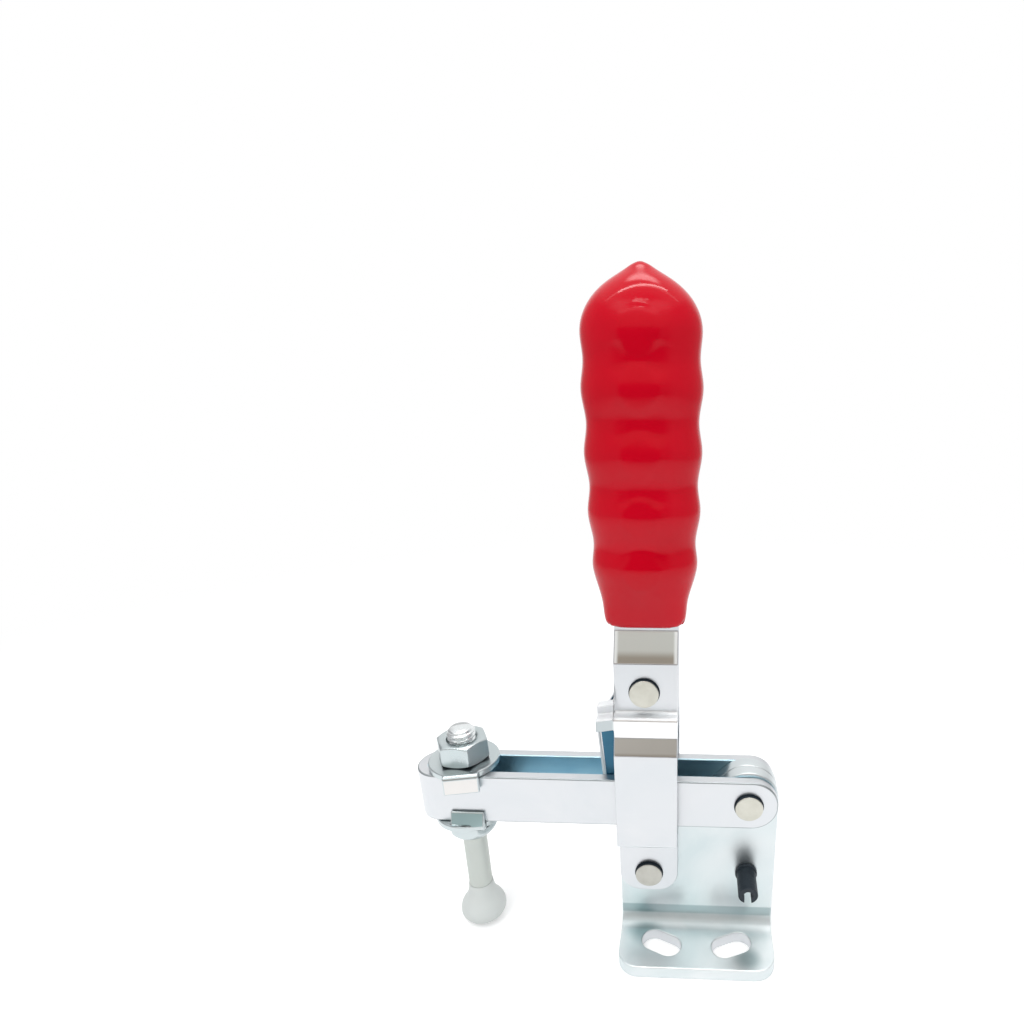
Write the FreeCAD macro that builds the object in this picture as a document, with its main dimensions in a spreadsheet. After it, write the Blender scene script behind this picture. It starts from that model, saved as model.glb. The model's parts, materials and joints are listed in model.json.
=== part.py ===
import FreeCAD, Part
import math
import os

import Sketcher
from FreeCAD import Placement, Rotation, Vector

# Vertical toggle clamp: a red hand grip on two folded plates closes a U-shaped arm
# that carries a rubber-tipped spindle. All sizes are millimetres.
# Origin: middle of the base's underside. +X runs from the spindle to the rear pivot,
# +Y runs away from the front face, +Z is up. The clamp is closed and locked.

DOCUMENT = FreeCAD.newDocument("ToggleClamp")
SHEET = DOCUMENT.addObject("Spreadsheet::Sheet", "Sizes")

# Driving dimensions

SIZES = {
    # base: two mirrored angle brackets, back to back
    "base_length": 34.7,
    "base_depth": 32.4,
    "base_sheet": 3.0,
    "base_bend": 2.5,
    "flange_corner": 4.5,
    "shoulder_height": 27.5,
    "shoulder_corner": 4.0,
    "lobe_radius": 6.6,
    "slot_width": 5.6,
    "slot_length": 9.2,
    "slot_tilt": 24,
    "slot_inset_x": 9.45,
    "slot_inset_y": 6.8,
    # pivots
    "arm_pivot_z": 37.7,
    "handle_pivot_inset": 6.6,
    "handle_pivot_z": 19.2,
    "link_top_offset": -0.35,
    "link_top_z": 64.3,
    "link_low_offset": 1.45,
    "rivet_shank": 5.0,
    "rivet_head": 6.3,
    "rivet_proud": 1.0,
    "rivet_edge": 0.22,
    "running_gap": 0.05,
    "side_gap": 0.1,
    # clamping arm
    "arm_sheet": 2.4,
    "arm_height": 11.5,
    "arm_reach": 72.75,
    "arm_rear_reach": 6.25,
    "arm_end_flat": 0.3,
    # link between arm and handle, a channel with its web towards the spindle
    "link_sheet": 1.6,
    "link_web_reach": 11.2,
    "link_web_top": 9.0,
    "link_web_end": 29.5,
    "link_top_radius": 4.9,
    "link_low_radius": 4.5,
    "link_bend": 1.9,
    # handle plates
    "plate_sheet": 2.3,
    "plate_width": 12.8,
    "plate_foot_z": 14.2,
    "plate_foot_corner": 4.8,
    "plate_arm_level": 7.3,
    "plate_ridge_gap": 0.2,
    "plate_foot_bend_z": 28.4,
    "plate_foot_bend_rise": 2.5,
    "plate_low_bend_z": 51.5,
    "plate_low_bend_rise": 3.4,
    "plate_ridge_z": 59.7,
    "plate_top_bend_z": 69.9,
    "plate_top_bend_rise": 5.9,
    "plate_tang_top": 128.0,
    "plate_bend_radius": 0.7,
    "ear_reach": 3.6,
    "ear_low_z": 57.0,
    "ear_floor_z": 58.4,
    "ear_high_z": 61.6,
    "tang_rivet": 4.0,
    "tang_rivet_low_z": 88.0,
    "tang_rivet_high_z": 118.0,
    # grip
    "grip_shift": -0.2,
    # handle stop pin
    "stop_offset": 0.3,
    "stop_z": 18.0,
    "stop_diameter": 4.3,
    "stop_bore": 1.9,
    "stop_slit": 1.5,
    "stop_reach": 10.2,
    "stop_collar": 4.9,
    "stop_collar_length": 0.8,
    # spindle set
    "spindle_inset": 10.3,
    "spindle_thread": 6.0,
    "spindle_stem": 5.3,
    "spindle_top_z": 52.3,
    "spindle_thread_end_z": 24.6,
    "spindle_low_z": 3.6,
    "spindle_tip_chamfer": 0.7,
    "nut_flats": 10.0,
    "nut_height": 5.0,
    "nut_bevel": 0.55,
    "nut_turn": -2,
    "nut_crown_height": 3.4,
    "nut_crown_radius": 4.4,
    "nut_crown_face": 3.9,
    "washer_diameter": 15.2,
    "washer_sheet": 1.5,
    "washer_bore": 6.4,
    "tab_width": 7.4,
    "tab_sheet": 1.4,
    "tab_drop": 2.9,
    "tab_bend": 0.9,
    "tab_gap": 0.15,
    "tab_rim_step": 0.55,
    "tab_tip_sheet": 0.45,
    "upper_washer_turn": 12,
    "lower_tab_shift": 1.5,
    "seat_gap": 0.05,
    # rubber cap
    "cap_low_z": 0.3,
    "cap_foot_radius": 3.7,
    "cap_belly_radius": 5.3,
    "cap_belly_z": 2.8,
    "cap_shoulder_radius": 5.0,
    "cap_shoulder_z": 5.0,
    "cap_neck_radius": 2.8,
    "cap_neck_z": 10.4,
    "cap_foot_round": 3.2,
    "cap_belly_round": 4.5,
    "cap_shoulder_round": 4.2,
    "cap_flare_round": 5.5,
    "cap_flare_step": 0.55,
    "cap_flare_rise": 2.1,
}

# Places along X that follow from the sizes above

ARM_PIVOT_X = "(base_length / 2 - lobe_radius)"
HANDLE_PIVOT_X = "(handle_pivot_inset - base_length / 2)"
LINK_TOP_X = f"({HANDLE_PIVOT_X} + link_top_offset)"
LINK_LOW_X = f"({HANDLE_PIVOT_X} + link_low_offset)"
ARM_TIP_X = f"({ARM_PIVOT_X} - arm_reach)"
ARM_REAR_X = f"({ARM_PIVOT_X} + arm_rear_reach)"
STOP_X = f"({ARM_PIVOT_X} + stop_offset)"
SPINDLE_X = f"({ARM_TIP_X} + spindle_inset)"
SLOT_X = "(base_length / 2 - slot_inset_x)"
SLOT_Y = "(base_depth / 2 - slot_inset_y)"
TAB_PAST_LEG = "base_sheet + side_gap + arm_sheet + tab_gap"
TAB_AT_RIM = "washer_diameter / 2 - tab_rim_step - tab_sheet"
TAB_INNER = f"max({TAB_PAST_LEG}; {TAB_AT_RIM})"

# Height above the underside, full width and full depth of the grip, from its mouth to its nub.
GRIP_STATIONS = [
    (77.1, 13.4, 5.8), (77.9, 15.4, 7.4), (79.2, 16.1, 8.4), (82.0, 16.7, 10.4),
    (86.0, 18.9, 14.0), (89.7, 20.3, 15.4), (93.4, 19.5, 14.8), (99.7, 21.2, 16.1),
    (104.4, 20.1, 15.3), (110.2, 21.6, 16.4), (115.4, 20.3, 15.4), (121.3, 21.7, 16.5),
    (125.8, 20.5, 15.6), (130.6, 21.1, 16.0), (133.6, 19.4, 14.7), (136.2, 15.6, 11.9),
    (138.4, 9.8, 7.5), (139.9, 4.6, 3.5), (140.9, 2.0, 1.5),
]


def fill_sheet():
    """Write every driving dimension into the sheet, one row each, with its alias."""
    rows = dict(SIZES)
    for number, (height, width, depth) in enumerate(GRIP_STATIONS):
        rows[f"grip_height_{number}"] = height
        rows[f"grip_width_{number}"] = width
        rows[f"grip_depth_{number}"] = depth
    for row, (alias, value) in enumerate(rows.items(), start=1):
        SHEET.set(f"A{row}", alias)
        SHEET.set(f"B{row}", str(value))
        SHEET.setAlias(f"B{row}", alias)
    DOCUMENT.recompute()


def sized(expression):
    """Value of an expression on the sheet; a bare alias needs no prefix."""
    return float(SHEET.evalExpression(bound(expression)))


def bound(expression):
    """The expression with every alias written as a reference to the sheet."""
    words = []
    word = ""
    for letter in expression + " ":
        if letter.isalnum() or letter == "_" or letter == ".":
            word += letter
            continue
        if SHEET.getCellFromAlias(word) if word else None:
            word = "Sizes." + word
        words.append(word + letter)
        word = ""
    return "".join(words).strip()


# Helpers for bodies and sketches

def new_body(label):
    """Empty body with its label."""
    body = DOCUMENT.addObject("PartDesign::Body", label)
    body.Label = label
    return body


def origin_plane(body, role):
    """The body's own origin plane with this role."""
    return next(item for item in body.Origin.OriginFeatures if item.Role == role)


def new_sketch(body, name, role, lift="0"):
    """Sketch on an origin plane, lifted along the plane's normal."""
    sketch = body.newObject("Sketcher::SketchObject", name)
    sketch.AttachmentSupport = [(origin_plane(body, role), "")]
    sketch.MapMode = "FlatFace"
    if lift != "0":
        sketch.setExpression("AttachmentOffset.Base.z", bound(lift))
    return sketch


def tie(sketch, kind, geometry, position, expression):
    """Hold one end of a curve at a distance from the sketch's origin."""
    value = sized(expression)
    index = sketch.addConstraint(Sketcher.Constraint(kind, -1, 1, geometry, position, value))
    sketch.setExpression(f"Constraints[{index}]", bound(expression))


def bend_between(start, end, radius, turn):
    """Arc of this radius between two points; turn is 1 for a left turn and -1 for a right one."""
    chord = end - start
    half = chord.Length / 2
    height = math.sqrt(max(radius**2 - half**2, 0.0))
    left = Vector(-chord.y, chord.x, 0)
    left.normalize()
    crown = (start + end) * 0.5 - left * (radius - height) * turn
    return Part.Arc(start, crown, end)


def draw_loop(sketch, corners):
    """Closed loop through corners.

    A corner is (x, y) for a straight side to the next corner, or (x, y, radius, turn) for an arc.
    """
    points = [Vector(sized(corner[0]), sized(corner[1]), 0) for corner in corners]
    first = sketch.GeometryCount
    count = len(corners)
    ends = []
    for index, corner in enumerate(corners):
        start = points[index]
        end = points[(index + 1) % count]
        if len(corner) == 2:
            sketch.addGeometry(Part.LineSegment(start, end), False)
            ends.append((1, 2))
            continue
        sketch.addGeometry(bend_between(start, end, sized(corner[2]), corner[3]), False)
        ends.append((1, 2) if corner[3] > 0 else (2, 1))
    for index, corner in enumerate(corners):
        this = first + index
        following = first + (index + 1) % count
        joined = Sketcher.Constraint(
            "Coincident", this, ends[index][1], following, ends[(index + 1) % count][0])
        sketch.addConstraint(joined)
        tie(sketch, "DistanceX", this, ends[index][0], corner[0])
        tie(sketch, "DistanceY", this, ends[index][0], corner[1])
        if len(corner) == 4:
            held = sketch.addConstraint(Sketcher.Constraint("Radius", this, sized(corner[2])))
            sketch.setExpression(f"Constraints[{held}]", bound(corner[2]))


def draw_circle(sketch, across, up, diameter):
    """Circle with its centre and diameter bound to the sheet."""
    centre = Vector(sized(across), sized(up), 0)
    circle = Part.Circle(centre, Vector(0, 0, 1), sized(diameter) / 2)
    index = sketch.addGeometry(circle, False)
    tie(sketch, "DistanceX", index, 3, across)
    tie(sketch, "DistanceY", index, 3, up)
    held = sketch.addConstraint(Sketcher.Constraint("Diameter", index, sized(diameter)))
    sketch.setExpression(f"Constraints[{held}]", bound(diameter))


def pad(body, name, sketch, length, side="One side", reverse=False):
    """Extrude a sketch by a bound length."""
    feature = body.newObject("PartDesign::Pad", name)
    feature.Profile = sketch
    feature.SideType = side
    feature.Reversed = reverse
    feature.setExpression("Length", bound(length))
    DOCUMENT.recompute()
    return feature


def cut_through(body, name, sketch):
    """Cut a sketch through the whole body, both ways, and see that it removed something."""
    before = body.Shape.Volume
    feature = body.newObject("PartDesign::Pocket", name)
    feature.Profile = sketch
    feature.SideType = "Symmetric"
    feature.Type = "ThroughAll"
    DOCUMENT.recompute()
    if body.Shape.Volume >= before:
        raise RuntimeError(f"{name} cuts nothing")
    return feature


def revolve(body, name, sketch):
    """Turn a sketch drawn on the XZ plane once round the body's Z axis."""
    feature = body.newObject("PartDesign::Revolution", name)
    feature.Profile = sketch
    feature.ReferenceAxis = (sketch, ["V_Axis"])
    feature.Angle = 360
    DOCUMENT.recompute()
    return feature


def round_edges(body, name, radius, wanted):
    """Round every edge that the wanted function picks, by a bound radius."""
    base = body.Tip
    picked = [f"Edge{number}" for number, edge in enumerate(base.Shape.Edges, start=1) if wanted(edge)]
    if not picked:
        raise RuntimeError(f"{name} finds no edge")
    feature = body.newObject("PartDesign::Fillet", name)
    feature.Base = (base, picked)
    feature.setExpression("Radius", bound(radius))
    DOCUMENT.recompute()
    return feature


def runs_along(edge, direction):
    """Whether an edge is straight and parallel to a direction."""
    if not isinstance(edge.Curve, Part.Line):
        return False
    return abs(abs(edge.Curve.Direction.dot(direction)) - 1) < 1e-6


def near(value, target):
    """Whether two lengths agree to a hundredth of a millimetre."""
    return abs(value - target) < 0.01


ALONG_X = Vector(1, 0, 0)
ALONG_Y = Vector(0, 1, 0)
ALONG_Z = Vector(0, 0, 1)


# Base: two angle brackets, and the pin that stops the opened handle

def base_bracket(label, side):
    """Angle bracket with an upright that carries both pivots and a slotted flange."""
    body = new_body(label)
    sign = "-" if side < 0 else ""
    # section across the bracket: upright against the middle plane, bend, flange
    section = new_sketch(body, label + "_section", "YZ_Plane")
    draw_loop(section, [
        ("0", "shoulder_height"),
        ("0", "base_sheet + base_bend", "base_sheet + base_bend", side),
        (sign + "(base_sheet + base_bend)", "0"),
        (sign + "base_depth / 2", "0"),
        (sign + "base_depth / 2", "base_sheet"),
        (sign + "(base_sheet + base_bend)", "base_sheet", "base_bend", -side),
        (sign + "base_sheet", "base_sheet + base_bend"),
        (sign + "base_sheet", "shoulder_height"),
    ])
    pad(body, label + "_angle", section, "base_length", "Symmetric")
    round_edges(body, label + "_flange_corners", "flange_corner", lambda edge: (
        runs_along(edge, ALONG_Z) and near(abs(edge.CenterOfMass.y), sized("base_depth / 2"))))
    round_edges(body, label + "_shoulder_corner", "shoulder_corner", lambda edge: (
        runs_along(edge, ALONG_Y) and near(edge.CenterOfMass.x, sized("-base_length / 2"))
        and near(edge.CenterOfMass.z, sized("shoulder_height"))))
    # head of the upright: a lobe round the arm's pivot with a slope down to the shoulder
    tangent = "lobe_radius * cos(45 deg)"
    slope_x = f"{ARM_PIVOT_X} - {tangent}"
    slope_z = f"arm_pivot_z + {tangent}"
    head = new_sketch(body, label + "_head_outline", "XZ_Plane")
    draw_loop(head, [
        ("base_length / 2", "shoulder_height - base_sheet"),
        ("base_length / 2", "arm_pivot_z", "lobe_radius", 1),
        (ARM_PIVOT_X, "arm_pivot_z + lobe_radius", "lobe_radius", 1),
        (slope_x, slope_z),
        (f"{slope_x} - ({slope_z} - shoulder_height)", "shoulder_height"),
        (f"{slope_x} - ({slope_z} - shoulder_height)", "shoulder_height - base_sheet"),
    ])
    pad(body, label + "_head", head, "base_sheet", "One side", side > 0)
    holes = new_sketch(body, label + "_pivot_holes", "XZ_Plane")
    draw_circle(holes, ARM_PIVOT_X, "arm_pivot_z", "rivet_shank")
    draw_circle(holes, HANDLE_PIVOT_X, "handle_pivot_z", "rivet_shank")
    draw_circle(holes, STOP_X, "stop_z", "stop_diameter")
    cut_through(body, label + "_pivots", holes)
    for name, across, tilt in (("left", f"-{SLOT_X}", -1), ("right", SLOT_X, 1)):
        slot = new_sketch(body, f"{label}_{name}_slot_outline", "XY_Plane")
        draw_slot(slot, across, sign + SLOT_Y, -tilt * side)
        cut_through(body, f"{label}_{name}_slot", slot)
    return body


def draw_slot(sketch, across, along, tilt):
    """Round-ended slot about a centre, turned by the slot tilt in the sense given."""
    turn = f"({tilt} * slot_tilt * 1 deg)"
    half = "(slot_length - slot_width) / 2"
    end = "slot_length / 2"
    wide = "slot_width / 2"

    def place(run, cross):
        """Expressions for a point run along the slot and cross over it."""
        return (f"{across} + ({run}) * cos{turn} - ({cross}) * sin{turn}",
                f"{along} + ({run}) * sin{turn} + ({cross}) * cos{turn}")

    draw_loop(sketch, [
        place(half, f"-{wide}") + ("slot_width / 2", 1),
        place(end, "0") + ("slot_width / 2", 1),
        place(half, wide),
        place(f"-{half}", wide) + ("slot_width / 2", 1),
        place(f"-{end}", "0") + ("slot_width / 2", 1),
        place(f"-{half}", f"-{wide}"),
    ])


def stop_pin(label):
    """Hollow slit pin through both uprights, proud on both sides, with a collar against each."""
    body = new_body(label)
    ring = new_sketch(body, label + "_ring", "XZ_Plane")
    draw_circle(ring, STOP_X, "stop_z", "stop_diameter")
    draw_circle(ring, STOP_X, "stop_z", "stop_bore")
    pad(body, label + "_tube", ring, "2 * stop_reach", "Symmetric")
    for name, lift in (("front", "base_sheet"), ("rear", "-(base_sheet + stop_collar_length)")):
        collar = new_sketch(body, f"{label}_{name}_collar_ring", "XZ_Plane", lift)
        draw_circle(collar, STOP_X, "stop_z", "stop_collar")
        draw_circle(collar, STOP_X, "stop_z", "stop_bore")
        pad(body, f"{label}_{name}_collar", collar, "stop_collar_length")
    slit = new_sketch(body, label + "_slit_outline", "XZ_Plane")
    draw_loop(slit, [
        (f"{STOP_X} - stop_slit / 2", "stop_z - stop_collar"),
        (f"{STOP_X} + stop_slit / 2", "stop_z - stop_collar"),
        (f"{STOP_X} + stop_slit / 2", "stop_z"),
        (f"{STOP_X} - stop_slit / 2", "stop_z"),
    ])
    cut_through(body, label + "_slit", slit)
    return body


# Rivets: a straight shank between two flat heads with softened rims

def rivet(label, across, up, inner, outer, shank="rivet_shank", front=True, rear=True):
    """Rivet along Y. Its heads sit on faces at the outer distance from the middle plane.

    A stub has one head, and its shank starts at the inner distance instead.
    """
    body = new_body(label)
    profile = new_sketch(body, label + "_profile", "XZ_Plane")
    tip = f"{outer} + rivet_proud"
    low = f"-({tip})" if rear and front else inner
    corners = [("0", low)]
    if front and rear:
        corners += [
            ("rivet_head / 2 - rivet_edge", f"-({tip})", "rivet_edge", 1),
            ("rivet_head / 2", f"-({tip}) + rivet_edge"),
            ("rivet_head / 2", f"-({outer})"),
            (f"{shank} / 2", f"-({outer})"),
        ]
    else:
        corners += [(f"{shank} / 2", low)]
    corners += [
        (f"{shank} / 2", outer),
        ("rivet_head / 2", outer),
        ("rivet_head / 2", f"{tip} - rivet_edge", "rivet_edge", 1),
        ("rivet_head / 2 - rivet_edge", tip),
        ("0", tip),
    ]
    draw_loop(profile, corners)
    revolve(body, label + "_turned", profile)
    lean = 90 if front else -90
    body.Placement = Placement(Vector(0, 0, 0), Rotation(ALONG_X, lean))
    body.setExpression("Placement.Base.x", bound(across))
    body.setExpression("Placement.Base.z", bound(up))
    DOCUMENT.recompute()
    return body


# Clamping arm

def clamp_arm(label):
    """Strip folded into a U round the spindle, with rounded rear ends on the arm pivot."""
    body = new_body(label)
    inner = "(base_sheet + side_gap)"
    outer = f"({inner} + arm_sheet)"
    nose = f"({ARM_TIP_X} + {outer})"
    plan = new_sketch(body, label + "_plan", "XY_Plane", "arm_pivot_z - arm_height / 2")
    draw_loop(plan, [
        (ARM_REAR_X, f"-{outer}"),
        (ARM_REAR_X, f"-{inner}"),
        (nose, f"-{inner}", inner, -1),
        (f"{nose} - {inner}", "0", inner, -1),
        (nose, inner),
        (ARM_REAR_X, inner),
        (ARM_REAR_X, outer),
        (nose, outer, outer, 1),
        (ARM_TIP_X, "0", outer, 1),
        (nose, f"-{outer}"),
    ])
    pad(body, label + "_strip", plan, "arm_height")
    round_edges(body, label + "_rear_ends", "(arm_height - arm_end_flat) / 2", lambda edge: (
        runs_along(edge, ALONG_Y) and near(edge.CenterOfMass.x, sized(ARM_REAR_X))))
    holes = new_sketch(body, label + "_rivet_holes", "XZ_Plane")
    draw_circle(holes, ARM_PIVOT_X, "arm_pivot_z", "rivet_shank + 2 * running_gap")
    draw_circle(holes, LINK_LOW_X, "arm_pivot_z", "rivet_shank")
    cut_through(body, label + "_holes", holes)
    return body


# Link: a folded channel from the handle's upper rivet down to the arm

def inner_link(label):
    """Channel drawn upright with its top hole at the origin, then leaned over its two rivets."""
    body = new_body(label)
    reach = "-link_web_reach"
    low = "-sqrt(pow(link_top_offset - link_low_offset; 2) + pow(link_top_z - arm_pivot_z; 2))"
    side_view = new_sketch(body, label + "_side_view", "XZ_Plane")
    draw_loop(side_view, [
        (reach, "-link_web_top"),
        (reach, "-link_web_end"),
        ("-link_low_radius", "-link_web_end"),
        ("0", f"{low} - link_low_radius", "link_low_radius", 1),
        ("link_low_radius", low),
        ("link_top_radius", "0", "link_top_radius", 1),
        ("0", "link_top_radius", "link_top_radius", 1),
        ("-link_top_radius", "0"),
    ])
    pad(body, label + "_block", side_view, "2 * base_sheet", "Symmetric")
    channel = new_sketch(body, label + "_channel", "XY_Plane")
    flange = "(base_sheet - link_sheet)"
    draw_loop(channel, [
        (f"{reach} + link_sheet", f"-{flange}"),
        ("2 * link_top_radius", f"-{flange}"),
        ("2 * link_top_radius", flange),
        (f"{reach} + link_sheet", flange),
    ])
    cut_through(body, label + "_hollow", channel)
    round_edges(body, label + "_bends", "link_bend", lambda edge: (
        runs_along(edge, ALONG_Z) and near(edge.CenterOfMass.x, sized(reach))
        and near(abs(edge.CenterOfMass.y), sized("base_sheet"))))
    holes = new_sketch(body, label + "_rivet_holes", "XZ_Plane")
    draw_circle(holes, "0", "0", "rivet_shank + 2 * running_gap")
    draw_circle(holes, "0", low, "rivet_shank + 2 * running_gap")
    cut_through(body, label + "_holes", holes)
    body.Placement = Placement(Vector(0, 0, 0), Rotation(ALONG_Y, -1))
    body.setExpression("Placement.Base.x", bound(LINK_TOP_X))
    body.setExpression("Placement.Base.z", bound("link_top_z"))
    lean = "-atan((link_low_offset - link_top_offset) / (link_top_z - arm_pivot_z))"
    body.setExpression("Placement.Rotation.Angle", bound(lean))
    DOCUMENT.recompute()
    return body


# Handle: two mirrored plates, joggled outwards over the arm, and the grip

def handle_plate(label, side):
    """Plate from the foot at the handle pivot up into the grip; the front one has an ear."""
    body = new_body(label)
    sign = "-" if side < 0 else ""
    foot = "(base_sheet + side_gap)"
    arm_side = "(base_sheet + side_gap + arm_sheet)"
    ridge = f"({arm_side} + plate_ridge_gap)"
    sheet = "plate_sheet"

    def shift(step, rise):
        """How far a bend's outer corner lies from its inner corner, along Z."""
        return f"plate_sheet * tan(atan(({step}) / {rise}) / 2)"

    foot_step = f"plate_arm_level - {foot}"
    low_step = f"plate_arm_level - {ridge}"
    foot_top = "(plate_foot_bend_z + plate_foot_bend_rise)"
    low_top = "(plate_low_bend_z + plate_low_bend_rise)"
    top_top = "(plate_top_bend_z + plate_top_bend_rise)"
    foot_shift = shift(foot_step, "plate_foot_bend_rise")
    low_shift = shift(low_step, "plate_low_bend_rise")
    top_shift = shift(foot, "plate_top_bend_rise")
    inner_path = [
        (foot, "plate_foot_z"),
        (foot, "plate_foot_bend_z"),
        ("plate_arm_level", foot_top),
        ("plate_arm_level", "plate_low_bend_z"),
        (ridge, low_top),
        (ridge, "plate_ridge_z - plate_sheet"),
        (foot, "plate_ridge_z - plate_sheet"),
        (foot, "plate_top_bend_z"),
        ("0", top_top),
        ("0", "plate_tang_top"),
    ]
    outer_path = [
        (f"{foot} + {sheet}", "plate_foot_z"),
        (f"{foot} + {sheet}", f"plate_foot_bend_z - {foot_shift}"),
        (f"plate_arm_level + {sheet}", f"{foot_top} - {foot_shift}"),
        (f"plate_arm_level + {sheet}", f"plate_low_bend_z + {low_shift}"),
        (f"{ridge} + {sheet}", f"{low_top} + {low_shift}"),
        (f"{ridge} + {sheet}", "plate_ridge_z"),
        (f"{foot} + {sheet}", "plate_ridge_z"),
        (f"{foot} + {sheet}", f"plate_top_bend_z + {top_shift}"),
        (sheet, f"{top_top} + {top_shift}"),
        (sheet, "plate_tang_top"),
    ]
    section = new_sketch(body, label + "_section", "YZ_Plane", f"{HANDLE_PIVOT_X} - plate_width / 2")
    draw_loop(section, [(f"{sign}({out})", up) for out, up in inner_path + outer_path[::-1]])
    pad(body, label + "_strip", section, "plate_width")
    round_edges(body, label + "_foot_corners", "plate_foot_corner", lambda edge: (
        runs_along(edge, ALONG_Y) and near(edge.CenterOfMass.z, sized("plate_foot_z"))))
    bend_heights = [sized(up) for _, up in inner_path[1:-1] + outer_path[1:-1]]
    middle = sized(HANDLE_PIVOT_X)
    round_edges(body, label + "_bends", "plate_bend_radius", lambda edge: (
        runs_along(edge, ALONG_X) and near(edge.CenterOfMass.x, middle)
        and any(near(edge.CenterOfMass.z, height) for height in bend_heights)))
    if side < 0:
        ear = new_sketch(body, label + "_ear_section", "YZ_Plane", f"{HANDLE_PIVOT_X} - plate_width / 2")
        draw_loop(ear, [(f"{sign}({out})", up) for out, up in (
            (ridge, "ear_low_z"),
            (f"{ridge} + {sheet}", "ear_low_z"),
            (f"{ridge} + {sheet}", "plate_ridge_z"),
            (f"{foot} + {sheet}", "plate_ridge_z"),
            (f"{foot} + {sheet}", "ear_high_z"),
            (foot, "ear_high_z"),
            (foot, "ear_floor_z"),
            (ridge, "ear_floor_z"),
        )])
        pad(body, label + "_ear", ear, "ear_reach", "One side", True)
    holes = new_sketch(body, label + "_rivet_holes", "XZ_Plane")
    draw_circle(holes, HANDLE_PIVOT_X, "handle_pivot_z", "rivet_shank + 2 * running_gap")
    draw_circle(holes, LINK_TOP_X, "link_top_z", "rivet_shank")
    draw_circle(holes, HANDLE_PIVOT_X, "tang_rivet_low_z", "tang_rivet")
    draw_circle(holes, HANDLE_PIVOT_X, "tang_rivet_high_z", "tang_rivet")
    cut_through(body, label + "_holes", holes)
    return body


def tang_rivet(label, up):
    """Flush rivet that holds the two plates together inside the grip."""
    pin = DOCUMENT.addObject("Part::Cylinder", label)
    pin.Label = label
    pin.setExpression("Radius", bound("tang_rivet / 2"))
    pin.setExpression("Height", bound("2 * plate_sheet"))
    pin.Placement = Placement(Vector(0, 0, 0), Rotation(ALONG_X, 90))
    pin.setExpression("Placement.Base.x", bound(HANDLE_PIVOT_X))
    pin.setExpression("Placement.Base.y", bound("plate_sheet"))
    pin.setExpression("Placement.Base.z", bound(up))
    return pin


def handle_grip(label):
    """Dipped grip: a loft through oval sections, hollow where the two plates go in."""
    sections = []
    for number in range(len(GRIP_STATIONS)):
        oval = DOCUMENT.addObject("Part::Ellipse", f"{label}_section_{number}")
        oval.setExpression("MajorRadius", bound(f"grip_width_{number} / 2"))
        oval.setExpression("MinorRadius", bound(f"grip_depth_{number} / 2"))
        oval.setExpression("Placement.Base.x", bound(f"{HANDLE_PIVOT_X} + grip_shift"))
        oval.setExpression("Placement.Base.z", bound(f"grip_height_{number}"))
        sections.append(oval)
    DOCUMENT.recompute()
    skin = DOCUMENT.addObject("Part::Loft", label + "_skin")
    skin.Sections = sections
    skin.Solid = True
    skin.Ruled = False
    tang = DOCUMENT.addObject("Part::Box", label + "_tang_room")
    tang.setExpression("Length", bound("plate_width"))
    tang.setExpression("Width", bound("2 * plate_sheet"))
    tang.setExpression("Height", bound("plate_tang_top - arm_pivot_z"))
    tang.setExpression("Placement.Base.x", bound(f"{HANDLE_PIVOT_X} - plate_width / 2"))
    tang.setExpression("Placement.Base.y", bound("-plate_sheet"))
    tang.setExpression("Placement.Base.z", bound("arm_pivot_z"))
    grip = DOCUMENT.addObject("Part::Cut", label)
    grip.Label = label
    grip.Base = skin
    grip.Tool = tang
    DOCUMENT.recompute()
    return grip


# Spindle set: bolt, two nuts, two flanged washers and the rubber cap

def place_on_spindle(body):
    """Put a turned piece on the spindle's axis."""
    body.setExpression("Placement.Base.x", bound(SPINDLE_X))
    DOCUMENT.recompute()
    return body


def spindle_bolt(label):
    """Threaded rod with a smooth stem below, its end held inside the rubber cap."""
    body = new_body(label)
    profile = new_sketch(body, label + "_profile", "XZ_Plane")
    draw_loop(profile, [
        ("0", "spindle_low_z"),
        ("spindle_stem / 2", "spindle_low_z"),
        ("spindle_stem / 2", "spindle_thread_end_z - (spindle_thread - spindle_stem) / 2"),
        ("spindle_thread / 2", "spindle_thread_end_z"),
        ("spindle_thread / 2", "spindle_top_z - spindle_tip_chamfer"),
        ("spindle_thread / 2 - spindle_tip_chamfer", "spindle_top_z"),
        ("0", "spindle_top_z"),
    ])
    revolve(body, label + "_turned", profile)
    return place_on_spindle(body)


def hex_nut(label, low, crowned=False):
    """Hexagon nut with bevelled corners; low is the height of its lower face.

    A crowned nut is rounded all over at its lower end.
    """
    body = new_body(label)
    high = f"{low} + nut_height"
    bore = "spindle_thread / 2 + running_gap"
    corner = "nut_flats / sqrt(3)"
    corners = [(bore, low), ("nut_flats / 2", low), (corner, f"{low} + nut_bevel")]
    if crowned:
        corners = [
            (bore, low),
            ("nut_crown_face", low, "nut_crown_radius", 1),
            (corner, f"{low} + nut_crown_height"),
        ]
    corners += [(corner, f"{high} - nut_bevel"), ("nut_flats / 2", high), (bore, high)]
    profile = new_sketch(body, label + "_profile", "XZ_Plane")
    draw_loop(profile, corners)
    revolve(body, label + "_turned", profile)
    flats = new_sketch(body, label + "_flats", "XY_Plane")
    draw_circle(flats, "0", "0", "2 * nut_flats")
    points = []
    for number in range(6):
        turn = f"(({60 * number} + nut_turn) * 1 deg)"
        points.append((f"{corner} * cos{turn}", f"{corner} * sin{turn}"))
    draw_loop(flats, points)
    cut_through(body, label + "_hexagon", flats)
    return place_on_spindle(body)


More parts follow.
